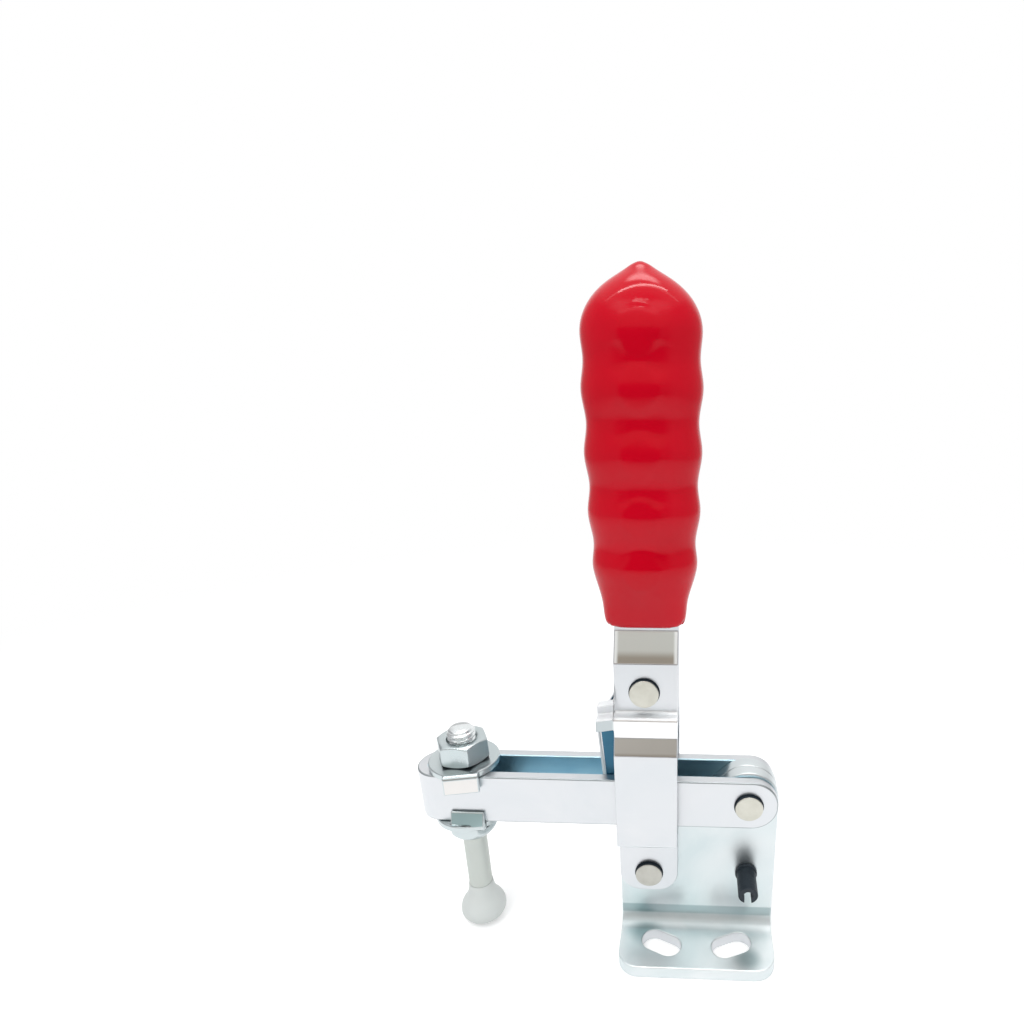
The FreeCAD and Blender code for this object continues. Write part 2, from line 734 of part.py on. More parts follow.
def flanged_washer(label, upper):
    """Round washer with two tabs folded over the arm's legs, on top of the arm or under it.

    The upper washer sits turned on the arm. The lower one's tabs thin out towards their tips.
    """
    body = new_body(label)
    if upper:
        turn = "(upper_washer_turn * 1 deg)"
        # the tabs' inner corners clear the arm's legs when the washer is turned
        leg = f"(({TAB_INNER} + tab_width / 2 * sin{turn}) / cos{turn})"
        face = "(arm_pivot_z + arm_height / 2 + seat_gap)"
        back = f"({face} + washer_sheet)"
        tip = f"({face} - tab_drop)"
        tip_sheet = "tab_sheet"
        shift = "0"
    else:
        leg = TAB_INNER
        face = "(arm_pivot_z - arm_height / 2 - seat_gap)"
        back = f"({face} - washer_sheet)"
        tip = f"({face} + tab_drop)"
        tip_sheet = "tab_tip_sheet"
        shift = "lower_tab_shift"
    plan = new_sketch(body, label + "_plan", "XY_Plane", face if upper else back)
    draw_circle(plan, "0", "0", "washer_diameter")
    draw_circle(plan, "0", "0", "washer_bore")
    pad(body, label + "_disc", plan, "washer_sheet")
    for name, sign in (("front", "-"), ("rear", "")):
        fold = new_sketch(body, f"{label}_{name}_tab_section", "YZ_Plane", shift)
        draw_loop(fold, [
            (f"{sign}{leg}", tip),
            (f"{sign}({leg} + {tip_sheet})", tip),
            (f"{sign}({leg} + tab_sheet)", face),
            (f"{sign}({leg} + tab_sheet)", back),
            (f"{sign}{leg}", back),
        ])
        pad(body, f"{label}_{name}_tab", fold, "tab_width", "Symmetric")
    reach = sized(f"{leg} + tab_sheet")
    round_edges(body, label + "_folds", "tab_bend", lambda edge: (
        runs_along(edge, ALONG_X) and near(abs(edge.CenterOfMass.y), reach)
        and near(edge.CenterOfMass.z, sized(back))))
    if upper:
        body.Placement = Placement(Vector(0, 0, 0), Rotation(ALONG_Z, 1))
        body.setExpression("Placement.Rotation.Angle", bound(turn))
    return place_on_spindle(body)


def spindle_cap(label):
    """Rubber foot with a round belly and a flared neck, moulded round the stem's end."""
    body = new_body(label)
    profile = new_sketch(body, label + "_profile", "XZ_Plane")
    draw_loop(profile, [
        ("0", "cap_low_z"),
        ("cap_foot_radius", "cap_low_z", "cap_foot_round", 1),
        ("cap_belly_radius", "cap_belly_z", "cap_belly_round", 1),
        ("cap_shoulder_radius", "cap_shoulder_z", "cap_shoulder_round", 1),
        ("cap_neck_radius + cap_flare_step", "cap_shoulder_z + cap_flare_rise", "cap_flare_round", -1),
        ("cap_neck_radius", "cap_neck_z"),
        ("spindle_stem / 2", "cap_neck_z"),
        ("spindle_stem / 2", "spindle_low_z"),
        ("0", "spindle_low_z"),
    ])
    revolve(body, label + "_moulded", profile)
    return place_on_spindle(body)


def build():
    """Make every piece and return them in the order of assembly."""
    arm_face = "(base_sheet + side_gap + arm_sheet)"
    foot_face = "(base_sheet + side_gap + plate_sheet)"
    upper_nut_low = "arm_pivot_z + arm_height / 2 + seat_gap + washer_sheet"
    lower_nut_low = "arm_pivot_z - arm_height / 2 - seat_gap - washer_sheet - nut_height"
    pieces = []
    for name, side in (("front", -1), ("rear", 1)):
        pieces.append(base_bracket(f"base_{name}_bracket", side))
        pieces.append(handle_plate(f"handle_{name}_plate", side))
        pieces.append(rivet(
            f"link_lower_rivet_{name}", LINK_LOW_X, "arm_pivot_z",
            "base_sheet + side_gap", arm_face, front=side < 0, rear=side > 0))
    pieces.append(stop_pin("handle_stop_pin"))
    pieces.append(rivet(
        "arm_pivot_rivet", ARM_PIVOT_X, "arm_pivot_z", "0", f"{arm_face} + running_gap"))
    pieces.append(rivet(
        "handle_pivot_rivet", HANDLE_PIVOT_X, "handle_pivot_z", "0", f"{foot_face} + running_gap"))
    pieces.append(rivet("link_upper_rivet", LINK_TOP_X, "link_top_z", "0", foot_face))
    pieces.append(clamp_arm("clamp_arm"))
    pieces.append(inner_link("inner_link"))
    pieces.append(tang_rivet("grip_lower_rivet", "tang_rivet_low_z"))
    pieces.append(tang_rivet("grip_upper_rivet", "tang_rivet_high_z"))
    pieces.append(handle_grip("handle_grip"))
    pieces.append(spindle_bolt("spindle_bolt"))
    pieces.append(hex_nut("spindle_upper_nut", upper_nut_low))
    pieces.append(hex_nut("spindle_lower_nut", lower_nut_low, crowned=True))
    pieces.append(flanged_washer("upper_flanged_washer", True))
    pieces.append(flanged_washer("lower_flanged_washer", False))
    pieces.append(spindle_cap("spindle_cap"))
    return pieces


def check(pieces):
    """Stop if any object failed, or if a piece isn't one valid solid."""
    DOCUMENT.recompute()
    for item in DOCUMENT.Objects:
        if "Invalid" in item.State or "Error" in item.State:
            raise RuntimeError(f"{item.Name} failed: {item.State}")
    for piece in pieces:
        shape = piece.Shape
        if shape.isNull() or not shape.isValid():
            raise RuntimeError(f"{piece.Label} has no valid shape")
        if len(shape.Solids) != 1 or shape.Volume <= 0:
            raise RuntimeError(f"{piece.Label} is not one solid")
        print(f"{piece.Label}: {shape.Volume:.1f} mm3")


def main():
    """Fill the sheet, build and check the pieces, and write one STEP file for each."""
    fill_sheet()
    pieces = build()
    check(pieces)
    os.makedirs("parts", exist_ok=True)
    for piece in pieces:
        piece.Shape.exportStep(f"parts/{piece.Label}.step")


main()
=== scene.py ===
"""Vertical toggle clamp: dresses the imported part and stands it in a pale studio."""
import json
import logging
import math
from dataclasses import dataclass
from enum import Enum
from typing import Callable, Sequence

import bmesh
import bpy
from mathutils import Matrix, Vector
from mathutils.bvhtree import BVHTree


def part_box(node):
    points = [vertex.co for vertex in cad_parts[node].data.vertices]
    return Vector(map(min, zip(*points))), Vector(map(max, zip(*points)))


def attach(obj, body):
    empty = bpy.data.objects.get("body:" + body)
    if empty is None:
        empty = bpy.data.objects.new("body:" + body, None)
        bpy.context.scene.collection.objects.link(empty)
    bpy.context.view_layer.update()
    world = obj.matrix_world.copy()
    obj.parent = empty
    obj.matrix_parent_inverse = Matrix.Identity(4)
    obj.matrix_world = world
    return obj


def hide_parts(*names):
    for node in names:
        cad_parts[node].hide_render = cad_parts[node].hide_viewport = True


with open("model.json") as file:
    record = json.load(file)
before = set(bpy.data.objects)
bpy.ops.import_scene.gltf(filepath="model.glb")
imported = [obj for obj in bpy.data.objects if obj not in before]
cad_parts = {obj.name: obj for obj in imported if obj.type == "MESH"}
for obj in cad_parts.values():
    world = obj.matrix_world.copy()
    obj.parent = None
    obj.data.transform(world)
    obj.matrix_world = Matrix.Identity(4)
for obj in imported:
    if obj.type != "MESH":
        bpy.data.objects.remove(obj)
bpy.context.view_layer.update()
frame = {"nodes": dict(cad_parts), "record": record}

LOG = logging.getLogger("toggle_clamp")
MM = 0.001
PHOTO_SIDE = 1024
WELD = 2e-7

Pair = tuple[float, float]
Colour = tuple[float, float, float]
Socket = bpy.types.NodeSocket
Material = bpy.types.Material
Mesh = bpy.types.Mesh
Face = bpy.types.MeshPolygon
Piece = bpy.types.Object

WHITE: Colour = (1.0, 1.0, 1.0)


class Slot(Enum):
    """Material slots of the record."""

    SHEET = "zinc_plate"
    BOLT = "zinc_bolt"
    RIVET = "rivet_steel"
    PIN = "black_steel"
    GRIP = "red_vinyl"
    CAP = "white_rubber"


class Ends(Enum):
    """What closes the two ends of a net of rings."""

    OPEN = "nothing"
    CAPPED = "a flat face on each"
    JOINED = "each other"


# Node trees

class Tree:
    """A node tree under construction, for a material, a shader group or a geometry tree."""

    def __init__(self, tree: bpy.types.NodeTree) -> None:
        """Keeps the tree that the nodes go into."""
        self.tree = tree

    def add(self, kind: str, feeds: dict | None = None, **settings: object) -> bpy.types.Node:
        """Adds a node.

        Args:
            kind: The node's type name.
            feeds: Values or sockets for its inputs, by name or by number.
            settings: Properties of the node itself.

        Returns:
            The new node.
        """
        node = self.tree.nodes.new(kind)
        for name, value in settings.items():
            setattr(node, name, value)
        for key, value in (feeds or {}).items():
            self.feed(node.inputs[key], value)
        return node

    def feed(self, socket: Socket, value: object) -> None:
        """Links a socket to an input, or sets the input's value."""
        if isinstance(value, Socket):
            self.tree.links.new(value, socket)
        else:
            socket.default_value = value

    def math(self, operation: str, first: object, second: object = 0.0, clamp: bool = False) -> Socket:
        """One Math node's result, held between 0 and 1 with clamp."""
        return self.add("ShaderNodeMath", {0: first, 1: second},
                        operation=operation, use_clamp=clamp).outputs[0]

    def plus(self, first: object, second: object) -> Socket:
        """Sum of two values."""
        return self.math("ADD", first, second)

    def minus(self, first: object, second: object) -> Socket:
        """First value less the second."""
        return self.math("SUBTRACT", first, second)

    def times(self, first: object, second: object) -> Socket:
        """Product of two values."""
        return self.math("MULTIPLY", first, second)

    def over(self, first: object, second: object) -> Socket:
        """First value divided by the second."""
        return self.math("DIVIDE", first, second)

    def unsigned(self, value: object) -> Socket:
        """A value without its sign."""
        return self.math("ABSOLUTE", value)

    def vectors(self, operation: str, first: object, second: object = (0.0, 0.0, 0.0)) -> Socket:
        """One Vector Math node's result, which is a number for a distance or a length."""
        node = self.add("ShaderNodeVectorMath", {0: first, 1: second}, operation=operation)
        return node.outputs["Value" if operation in ("DISTANCE", "LENGTH") else "Vector"]

    def vector(self, **parts: object) -> Socket:
        """Vector with the given X, Y and Z."""
        return self.add("ShaderNodeCombineXYZ", parts).outputs[0]

    def axes(self, vector: Socket) -> list[Socket]:
        """X, Y and Z of a vector."""
        return list(self.add("ShaderNodeSeparateXYZ", {0: vector}).outputs)

    def noise(self, place: Socket, scale: object, detail: float, distortion: float = 0.0) -> Socket:
        """Noise, mostly between 0.3 and 0.7."""
        return self.add("ShaderNodeTexNoise", {
            "Vector": place, "Scale": scale, "Detail": detail, "Distortion": distortion}).outputs["Fac"]

    def span(self, value: object, low: float, high: float, start: float = 0.0,
             end: float = 1.0) -> Socket:
        """Smooth change from start to end while the value goes from low to high."""
        return self.add("ShaderNodeMapRange", {
            "Value": value, "From Min": low, "From Max": high, "To Min": start, "To Max": end,
        }, interpolation_type="SMOOTHSTEP").outputs["Result"]

    def mix(self, factor: object, first: object, second: object, blend: str = "MIX") -> Socket:
        """Mix of two colours.

        Args:
            factor: Share of the second colour.
            first: First colour, as a socket or a plain colour.
            second: Second colour, likewise.
            blend: How the second colour goes over the first.

        Returns:
            The mixed colour.
        """
        node = self.add("ShaderNodeMix", {"Factor": factor}, data_type="RGBA", blend_type=blend)
        entries = [socket for socket in node.inputs if socket.type == "RGBA"]
        for entry, colour in zip(entries, (first, second)):
            self.feed(entry, rgba(colour) if isinstance(colour, tuple) else colour)
        return next(socket for socket in node.outputs if socket.type == "RGBA")

    def takes(self, name: str, kind: str, default: object = None) -> None:
        """Adds a named input to the tree's own interface."""
        socket = self.tree.interface.new_socket(name=name, in_out="INPUT", socket_type=kind)
        if default is not None:
            socket.default_value = default

    def gives(self, name: str, kind: str) -> None:
        """Adds a named output to the tree's own interface."""
        self.tree.interface.new_socket(name=name, in_out="OUTPUT", socket_type=kind)


def rgba(colour: Colour) -> tuple[float, float, float, float]:
    """A colour with full alpha."""
    return (*colour, 1.0)


class Effects:
    """Shader node groups that several finishes share."""

    def __init__(self) -> None:
        """Builds the groups once."""
        self.rolled_grain = self._rolled_grain()
        self.tone_drift = self._tone_drift()
        self.handling_marks = self._handling_marks()

    @staticmethod
    def _group(name: str, output: str, **inputs: float) -> tuple[Tree, Sequence[Socket], Socket]:
        """Starts a group that reads a vector and plain numbers and puts out one value.

        Args:
            name: The group's name.
            output: Name of its output.
            inputs: Defaults of its number inputs, by name.

        Returns:
            The tree, the sockets that it reads and the socket that it fills.
        """
        tree = Tree(bpy.data.node_groups.new(name, "ShaderNodeTree"))
        tree.takes("Vector", "NodeSocketVector")
        for label, default in inputs.items():
            tree.takes(label, "NodeSocketFloat", default)
        tree.gives(output, "NodeSocketFloat")
        return tree, tree.add("NodeGroupInput").outputs, tree.add("NodeGroupOutput").inputs[output]

    def _rolled_grain(self) -> bpy.types.NodeTree:
        """Fine streaks that rolling leaves in sheet, as a height."""
        tree, given, height = self._group(
            "rolled_grain", "Height", Streaks=900.0, Stretch=0.06, Strength=1.0)
        along = tree.vectors(
            "MULTIPLY", given["Vector"], tree.vector(X=given["Stretch"], Y=1.0, Z=1.0))
        pores = tree.times(tree.noise(given["Vector"], 2600.0, 2.0), 0.5)
        both = tree.plus(tree.noise(along, given["Streaks"], 3.0), pores)
        tree.feed(height, tree.times(both, given["Strength"]))
        return tree.tree

    def _tone_drift(self) -> bpy.types.NodeTree:
        """Slow cloudy change across a surface, from 0 to 1."""
        tree, given, mask = self._group("tone_drift", "Mask", Scale=60.0, Contrast=1.0)
        cloud = tree.noise(given["Vector"], given["Scale"], 4.0, 0.6)
        widened = tree.times(tree.minus(cloud, 0.5), tree.times(given["Contrast"], 2.5))
        tree.feed(mask, tree.math("ADD", widened, 0.5, clamp=True))
        return tree.tree

    def _handling_marks(self) -> bpy.types.NodeTree:
        """Sparse hairline scratches and specks, as a mask from 0 to 1."""
        tree, given, mask = self._group(
            "handling_marks", "Mask", Scale=70.0, Width=0.012, Amount=0.5)
        bent = tree.add("ShaderNodeTexNoise", {"Vector": given["Vector"], "Scale": 90.0, "Detail": 1.0})
        pushed = tree.add("ShaderNodeVectorMath", {
            0: bent.outputs["Color"], "Scale": 0.004}, operation="SCALE")
        cells = tree.add("ShaderNodeTexVoronoi", {
            "Vector": tree.vectors("ADD", given["Vector"], pushed.outputs[0]),
            "Scale": given["Scale"]}, feature="DISTANCE_TO_EDGE")
        line = tree.math("LESS_THAN", cells.outputs["Distance"], given["Width"])
        kept = tree.math("GREATER_THAN", tree.noise(given["Vector"], 160.0, 1.0), 0.6)
        tree.feed(mask, tree.times(tree.times(line, kept), given["Amount"]))
        return tree.tree


class MaterialTree(Tree):
    """The node tree of one material, with its shader and object coordinates at hand."""

    def __init__(self, name: str) -> None:
        """Starts a material with a plain shader."""
        self.material = bpy.data.materials.new(name)
        self.material.use_nodes = True
        super().__init__(self.material.node_tree)
        self.entries = self.tree.nodes["Principled BSDF"].inputs
        self.place = self.add("ShaderNodeTexCoord").outputs["Object"]

    def use(self, group: bpy.types.NodeTree, **values: object) -> Socket:
        """Places a shared group on object coordinates and gives its output."""
        return self.add("ShaderNodeGroup", {"Vector": self.place, **values}, node_tree=group).outputs[0]

    def bump(self, height: Socket, distance: float, strength: float = 1.0) -> None:
        """Feeds the shader's normal from a height.

        Args:
            height: Socket with the height.
            distance: How far a height of one stands out, in metres.
            strength: Share of the effect.
        """
        node = self.add("ShaderNodeBump", {
            "Height": height, "Distance": distance, "Strength": strength})
        self.feed(self.entries["Normal"], node.outputs["Normal"])


# Finishes

@dataclass(frozen=True)
class PlatedSteel:
    """Bright zinc on steel, with a bluish and a faintly warm tone in slow patches."""

    name: str
    cool: Colour = (0.625, 0.655, 0.68)
    warm: Colour = (0.70, 0.715, 0.735)
    smooth: float = 0.29
    dull: float = 0.36
    streaks: float = 900.0
    grain_depth: float = 0.000004

    def painted_shading(self, tree: MaterialTree, tone: Socket, rough: Socket) -> tuple[Socket, Socket]:
        """Adds painted light and shade of a pressed shape to the tone, and dulling to the roughness;
        plain sheet has none.
        """
        return tone, rough

    def material(self, effects: Effects) -> Material:
        """Builds the material."""
        tree = MaterialTree(self.name)
        drift = tree.use(effects.tone_drift, Scale=55.0, Contrast=1.0)
        marks = tree.use(effects.handling_marks, Scale=85.0, Width=0.006, Amount=0.25)
        grain = tree.use(effects.rolled_grain, Streaks=self.streaks, Stretch=0.08, Strength=1.0)
        # Subclasses paint shade and highlights into the tone here.
        tone, rough = self.painted_shading(tree, tree.mix(drift, self.cool, self.warm),
                                     tree.span(drift, 0.0, 1.0, self.smooth, self.dull))
        tree.feed(tree.entries["Base Color"], tone)
        tree.feed(tree.entries["Roughness"], tree.plus(rough, tree.times(marks, 0.3)))
        tree.entries["Metallic"].default_value = 1.0
        tree.bump(grain, self.grain_depth)
        return tree.material


@dataclass(frozen=True)
class BracketSteel(PlatedSteel):
    """Zinc of a pressed bracket, with painted shade above its bend and in two spots on the flange, and
    the flange top painted lighter.
    """

    bend_top: float = 7.8 * MM
    bend_start: float = 5.4 * MM
    bend_reach: float = 5.8 * MM
    bend_dulling: float = 0.3
    blend: float = 0.25 * MM
    bend_shade_tone: Colour = (0.60, 0.67, 0.68)
    spot_shade_tone: Colour = (0.52, 0.60, 0.61)
    shade_spots: tuple[tuple[float, float, float], ...] = (
        (-11.5 * MM, -6.5 * MM, 5.0 * MM), (11.5 * MM, -13.0 * MM, 4.0 * MM))
    flange_top: float = 3.2 * MM
    flange_light_tone: Colour = (1.32, 1.29, 1.28)

    def painted_shading(self, tree: MaterialTree, tone: Socket, rough: Socket) -> tuple[Socket, Socket]:
        """Paints shade over the foot of the upright and in two spots, paints the flange top lighter,
        and dulls the bend.
        """
        _, deep, height = tree.axes(tree.place)
        blend, top = self.blend, self.flange_top
        below = tree.span(height, self.bend_start + blend, self.bend_start - blend)
        foot = tree.span(height, self.bend_top + blend, self.bend_top - blend)
        # Painted shade: a darker band above the bend.
        tone = tree.mix(tree.minus(foot, below), tone, self.bend_shade_tone, "MULTIPLY")
        flat = tree.times(tree.span(height, top + 2 * blend, top),
                          tree.span(height, top - 2 * blend, top - blend))
        # Painted shade: two darker spots on the flange top.
        for x, y, radius in self.shade_spots:
            distance = tree.vectors("DISTANCE", tree.place, (x, y, top))
            spot_shaded = tree.times(flat, tree.span(distance, radius, 0.2 * radius))
            tone = tree.mix(spot_shaded, tone, self.spot_shade_tone, "MULTIPLY")
        # Painted light: the flange top made lighter.
        tone = tree.mix(flat, tone, self.flange_light_tone, "MULTIPLY")
        inner = tree.span(tree.unsigned(deep), self.bend_reach + blend, self.bend_reach - blend)
        return tone, tree.plus(rough, tree.times(tree.times(below, inner), self.bend_dulling))


@dataclass(frozen=True)
class JoggleShadeSteel(PlatedSteel):
    """Zinc on the handle plates' joggles, dull, its darker warm tone a painted reflection, inside
    painted lighter margins and with painted shade at the foot.
    """

    middle: float = -10.75 * MM
    margin_start: float = 5.6 * MM
    margin_blend: float = 0.3 * MM
    margin_low: float = 65 * MM
    margin_highlight_tone: Colour = (0.80, 0.84, 0.85)
    feet: tuple[Pair, ...] = ((51.9 * MM, 0.6 * MM), (71.4 * MM, 1.1 * MM))
    foot_shade_tone: Colour = (0.60, 0.54, 0.49)

    def painted_shading(self, tree: MaterialTree, tone: Socket, rough: Socket) -> tuple[Socket, Socket]:
        """Paints shade at the foot of each joggle and a lighter painted highlight on its margins."""
        across, _, height = tree.axes(tree.place)
        for foot, reach in self.feet:
            band = tree.times(tree.span(height, foot + 1.5 * reach, foot),
                              tree.span(height, foot - 2 * reach, foot - reach))
            # Painted shade at the foot of the joggle.
            tone = tree.mix(band, tone, self.foot_shade_tone, "MULTIPLY")
        start, blend = self.margin_start, self.margin_blend
        aside = tree.unsigned(tree.minus(across, self.middle))
        lightened = tree.times(tree.span(aside, start - blend, start + blend),
                               tree.math("GREATER_THAN", height, self.margin_low))
        # Painted highlight: lighter margins.
        return tree.mix(lightened, tone, self.margin_highlight_tone), rough


@dataclass(frozen=True)
class StripHighlightSteel(PlatedSteel):
    """Zinc with a painted highlight on the strip below the ridge, and painted shade on the ear beside
    it.
    """

    plate_side: float = -17.15 * MM
    blend: float = 0.3 * MM
    ear_shade_tone: Colour = (0.51, 0.56, 0.575)

    def painted_shading(self, tree: MaterialTree, tone: Socket, rough: Socket) -> tuple[Socket, Socket]:
        """Paints shade on the ear, beside the strip's painted highlight."""
        side, blend = self.plate_side, self.blend
        on_strip = tree.span(tree.axes(tree.place)[0], side - blend, side + blend)
        # Painted shade on the ear, painted highlight on the strip.
        return tree.mix(on_strip, self.ear_shade_tone, tone), rough


@dataclass(frozen=True)
class FineSkin:
    """Two tones in slow patches over a fine skin, which moves the gloss and the height."""

    name: str
    tones: tuple[Colour, Colour]
    patch_scale: float
    patch_contrast: float
    rough: Pair
    skin_scale: float
    skin_detail: float = 3.0
    skin_depth: float = 0.00001
    skin_strength: float = 1.0
    patchy_gloss: bool = False
    fixed: tuple[tuple[str, object], ...] = ()

    def own_tone(self, tree: MaterialTree, tone: Socket) -> Socket:
        """Changes the tone by place where a piece needs it; most have none."""
        return tone

    def material(self, effects: Effects) -> Material:
        """Builds the material."""
        tree = MaterialTree(self.name)
        drift = tree.use(effects.tone_drift, Scale=self.patch_scale, Contrast=self.patch_contrast)
        skin = tree.noise(tree.place, self.skin_scale, self.skin_detail)
        tree.feed(tree.entries["Base Color"], self.own_tone(tree, tree.mix(drift, *self.tones)))
        source = (drift, 0.0, 1.0) if self.patchy_gloss else (skin, 0.3, 0.7)
        tree.feed(tree.entries["Roughness"], tree.span(*source, *self.rough))
        for name, value in self.fixed:
            tree.entries[name].default_value = value
        tree.bump(skin, self.skin_depth, self.skin_strength)
        return tree.material


@dataclass(frozen=True)
class NickelRivet(FineSkin):
    """Warm white rivet steel, turned flat by the heading tool, a shade darker where it sits low."""

    name: str = "rivet_steel_warm"
    tones: tuple[Colour, Colour] = ((0.64, 0.635, 0.57), (0.58, 0.575, 0.51))
    patch_scale: float = 240.0
    patch_contrast: float = 1.3
    rough: Pair = (0.34, 0.46)
    skin_scale: float = 1500.0
    fixed: tuple[tuple[str, object], ...] = (("Metallic", 1.0),)
    low: float = 28 * MM
    low_tone: Colour = (0.80, 0.80, 0.82)

    def own_tone(self, tree: MaterialTree, tone: Socket) -> Socket:
        """Darkens the rivets that sit low."""
        lower_share = tree.span(tree.axes(tree.place)[2], self.low + 1 * MM, self.low)
        return tree.mix(lower_share, tone, self.low_tone, "MULTIPLY")


@dataclass(frozen=True)
class DarkSteel(FineSkin):
    """Oiled black oxide for the slit pin; the same dark steel paints shade on the walls of rivet heads
    and under the upper nut.
    """

    tones: tuple[Colour, Colour] = ((0.008, 0.015, 0.023), (0.016, 0.025, 0.034))
    patch_scale: float = 300.0
    patch_contrast: float = 1.2
    rough: Pair = (0.42, 0.57)
    skin_scale: float = 2200.0
    fixed: tuple[tuple[str, object], ...] = (("Specular IOR Level", 0.35),)


@dataclass(frozen=True)
class DippedVinyl(FineSkin):
    """Glossy red dip coating, a little deeper in tone where it runs thick."""

    name: str = "vinyl_dip_red"
    tones: tuple[Colour, Colour] = ((0.54, 0.0002, 0.010), (0.61, 0.0006, 0.014))
    patch_scale: float = 45.0
    patch_contrast: float = 0.9
    rough: Pair = (0.07, 0.11)
    skin_scale: float = 260.0
    skin_detail: float = 1.0
    skin_strength: float = 0.1
    patchy_gloss: bool = True
    fixed: tuple[tuple[str, object], ...] = (
        ("Specular IOR Level", 0.22), ("Subsurface Weight", 0.04),
        ("Subsurface Radius", (0.0012, 0.0002, 0.0002)), ("Subsurface Scale", 1.0))


@dataclass(frozen=True)
class MouldedRubber(FineSkin):
    """Off-white rubber with a fine moulded skin."""

    name: str = "rubber_off_white"
    tones: tuple[Colour, Colour] = ((0.71, 0.745, 0.725), (0.665, 0.70, 0.685))
    patch_scale: float = 130.0
    patch_contrast: float = 0.9
    rough: Pair = (0.5, 0.6)
    skin_scale: float = 1800.0
    skin_depth: float = 0.000015
    fixed: tuple[tuple[str, object], ...] = (
        ("Subsurface Weight", 0.1), ("Subsurface Radius", (0.0012, 0.0011, 0.001)),
        ("Subsurface Scale", 1.0))


class Finishes:
    """Every material of the clamp, made once."""

    def __init__(self) -> None:
        """Builds the shared effects and the materials."""
        effects = Effects()
        self.sheet = PlatedSteel("zinc_sheet").material(effects)
        # The bracket finish paints shade above the bend and in two spots, and paints the flange top
        # lighter.
        self.bracket = BracketSteel(
            "zinc_bracket", (0.58, 0.655, 0.67), (0.73, 0.765, 0.775)).material(effects)
        # Joggle finish: a darker warm tone as a painted reflection, painted lighter margins and painted
        # shade at each foot.
        self.folded = JoggleShadeSteel(
            "zinc_joggle_painted_shade", (0.53, 0.56, 0.54), (0.59, 0.595, 0.57), 0.34, 0.42).material(effects)
        # Painted highlight on the strip below the ridge; painted shade on the ear beside it.
        self.burnished = StripHighlightSteel(
            "zinc_burnished", (0.90, 0.92, 0.92), (0.95, 0.95, 0.94)).material(effects)
        # Several finishes in this row paint light and shade: highlight on ridge tops, link edges and
        # the upper tab; shade on arm edges, the lower tab, inside the arm and on the link's flanks.
        self.ridge, self.edge, self.bolt, self.bright_tab, self.thread, self.tab, self.stem, \
            self.sheltered, self.shaded = (PlatedSteel(*given).material(effects) for given in (
                ("zinc_dull_ridge_painted_highlight", (0.90, 0.94, 0.96), (0.96, 0.97, 0.98), 0.62, 0.70),
                ("zinc_edge_painted_shade", (0.34, 0.38, 0.40), (0.42, 0.45, 0.46), 0.34, 0.42),
                ("zinc_turned", (0.535, 0.605, 0.62), (0.585, 0.635, 0.64), 0.26, 0.34, 1400.0),
                ("zinc_bright_tab", (0.68, 0.67, 0.66), (0.76, 0.74, 0.72), 0.26, 0.34),
                ("zinc_bright_thread", (0.80, 0.84, 0.85), (0.86, 0.88, 0.88), 0.20, 0.28, 1400.0),
                ("zinc_tab_painted_shade", (0.40, 0.56, 0.57), (0.46, 0.62, 0.63), 0.34, 0.42),
                ("zinc_dull", (0.52, 0.56, 0.535), (0.56, 0.59, 0.56), 0.44, 0.52, 1400.0),
                ("zinc_painted_gap_shade", (0.38, 0.568, 0.67), (0.515, 0.717, 0.80), 0.28, 0.38),
                ("zinc_painted_deep_shade", (0.03, 0.10, 0.17), (0.06, 0.17, 0.25), 0.30, 0.40)))
        self.rivet = NickelRivet().material(effects)
        # Dark steel as painted shade on rivet head walls and under the upper nut; the pin's black oxide
        # is its own colour.
        self.rivet_wall = DarkSteel("rivet_wall_painted_shade").material(effects)
        self.seam = DarkSteel("nut_underside_painted_shade").material(effects)
        self.pin = DarkSteel("pin_black_oxide").material(effects)
        self.grip = DippedVinyl().material(effects)
        self.cap = MouldedRubber().material(effects)


# Meshes

def new_piece(name: str, mesh: Mesh) -> Piece:
    """Puts a mesh into the scene as an object at the origin."""
    piece = bpy.data.objects.new(name, mesh)
    bpy.context.scene.collection.objects.link(piece)
    return piece


def settle(piece: Piece) -> Piece:
    """Turns a piece's modifiers into plain mesh.

    Args:
        piece: The object whose modifiers are applied.

    Returns:
        The same object, with no modifier left.
    """
    evaluated = piece.evaluated_get(bpy.context.evaluated_depsgraph_get())
    mesh = bpy.data.meshes.new_from_object(evaluated)
    piece.modifiers.clear()
    piece.data = mesh
    mesh.name = piece.name
    return piece


def stand_in(piece: Piece, node: str) -> None:
    """Lets a finished piece stand for a CAD node, on that node's body.

    Args:
        piece: The finished piece.
        node: The node that it replaces.
    """
    bodies = frame["record"]["behaviour"]["bodies"]
    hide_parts(node)
    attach(piece, next(body for body, nodes in bodies.items() if node in nodes))
    LOG.info("%s: %d faces, for %s", piece.name, len(piece.data.polygons), node)


def welded_copy(node: str) -> Mesh:
    """Copy of a CAD node's mesh with its doubles merged and its flat faces joined."""
    source = frame["nodes"][node].data
    mesh = bpy.data.meshes.new(node + "_finished")
    mesh.from_pydata([v.co[:] for v in source.vertices], [], [p.vertices[:] for p in source.polygons])
    work = bmesh.new()
    work.from_mesh(mesh)
    bmesh.ops.remove_doubles(work, verts=work.verts, dist=WELD)
    bmesh.ops.dissolve_degenerate(work, edges=work.edges, dist=WELD)
    bmesh.ops.dissolve_limit(
        work, angle_limit=math.radians(0.2), verts=work.verts, edges=work.edges)
    work.to_mesh(mesh)
    work.free()
    mesh.shade_smooth()
    return mesh


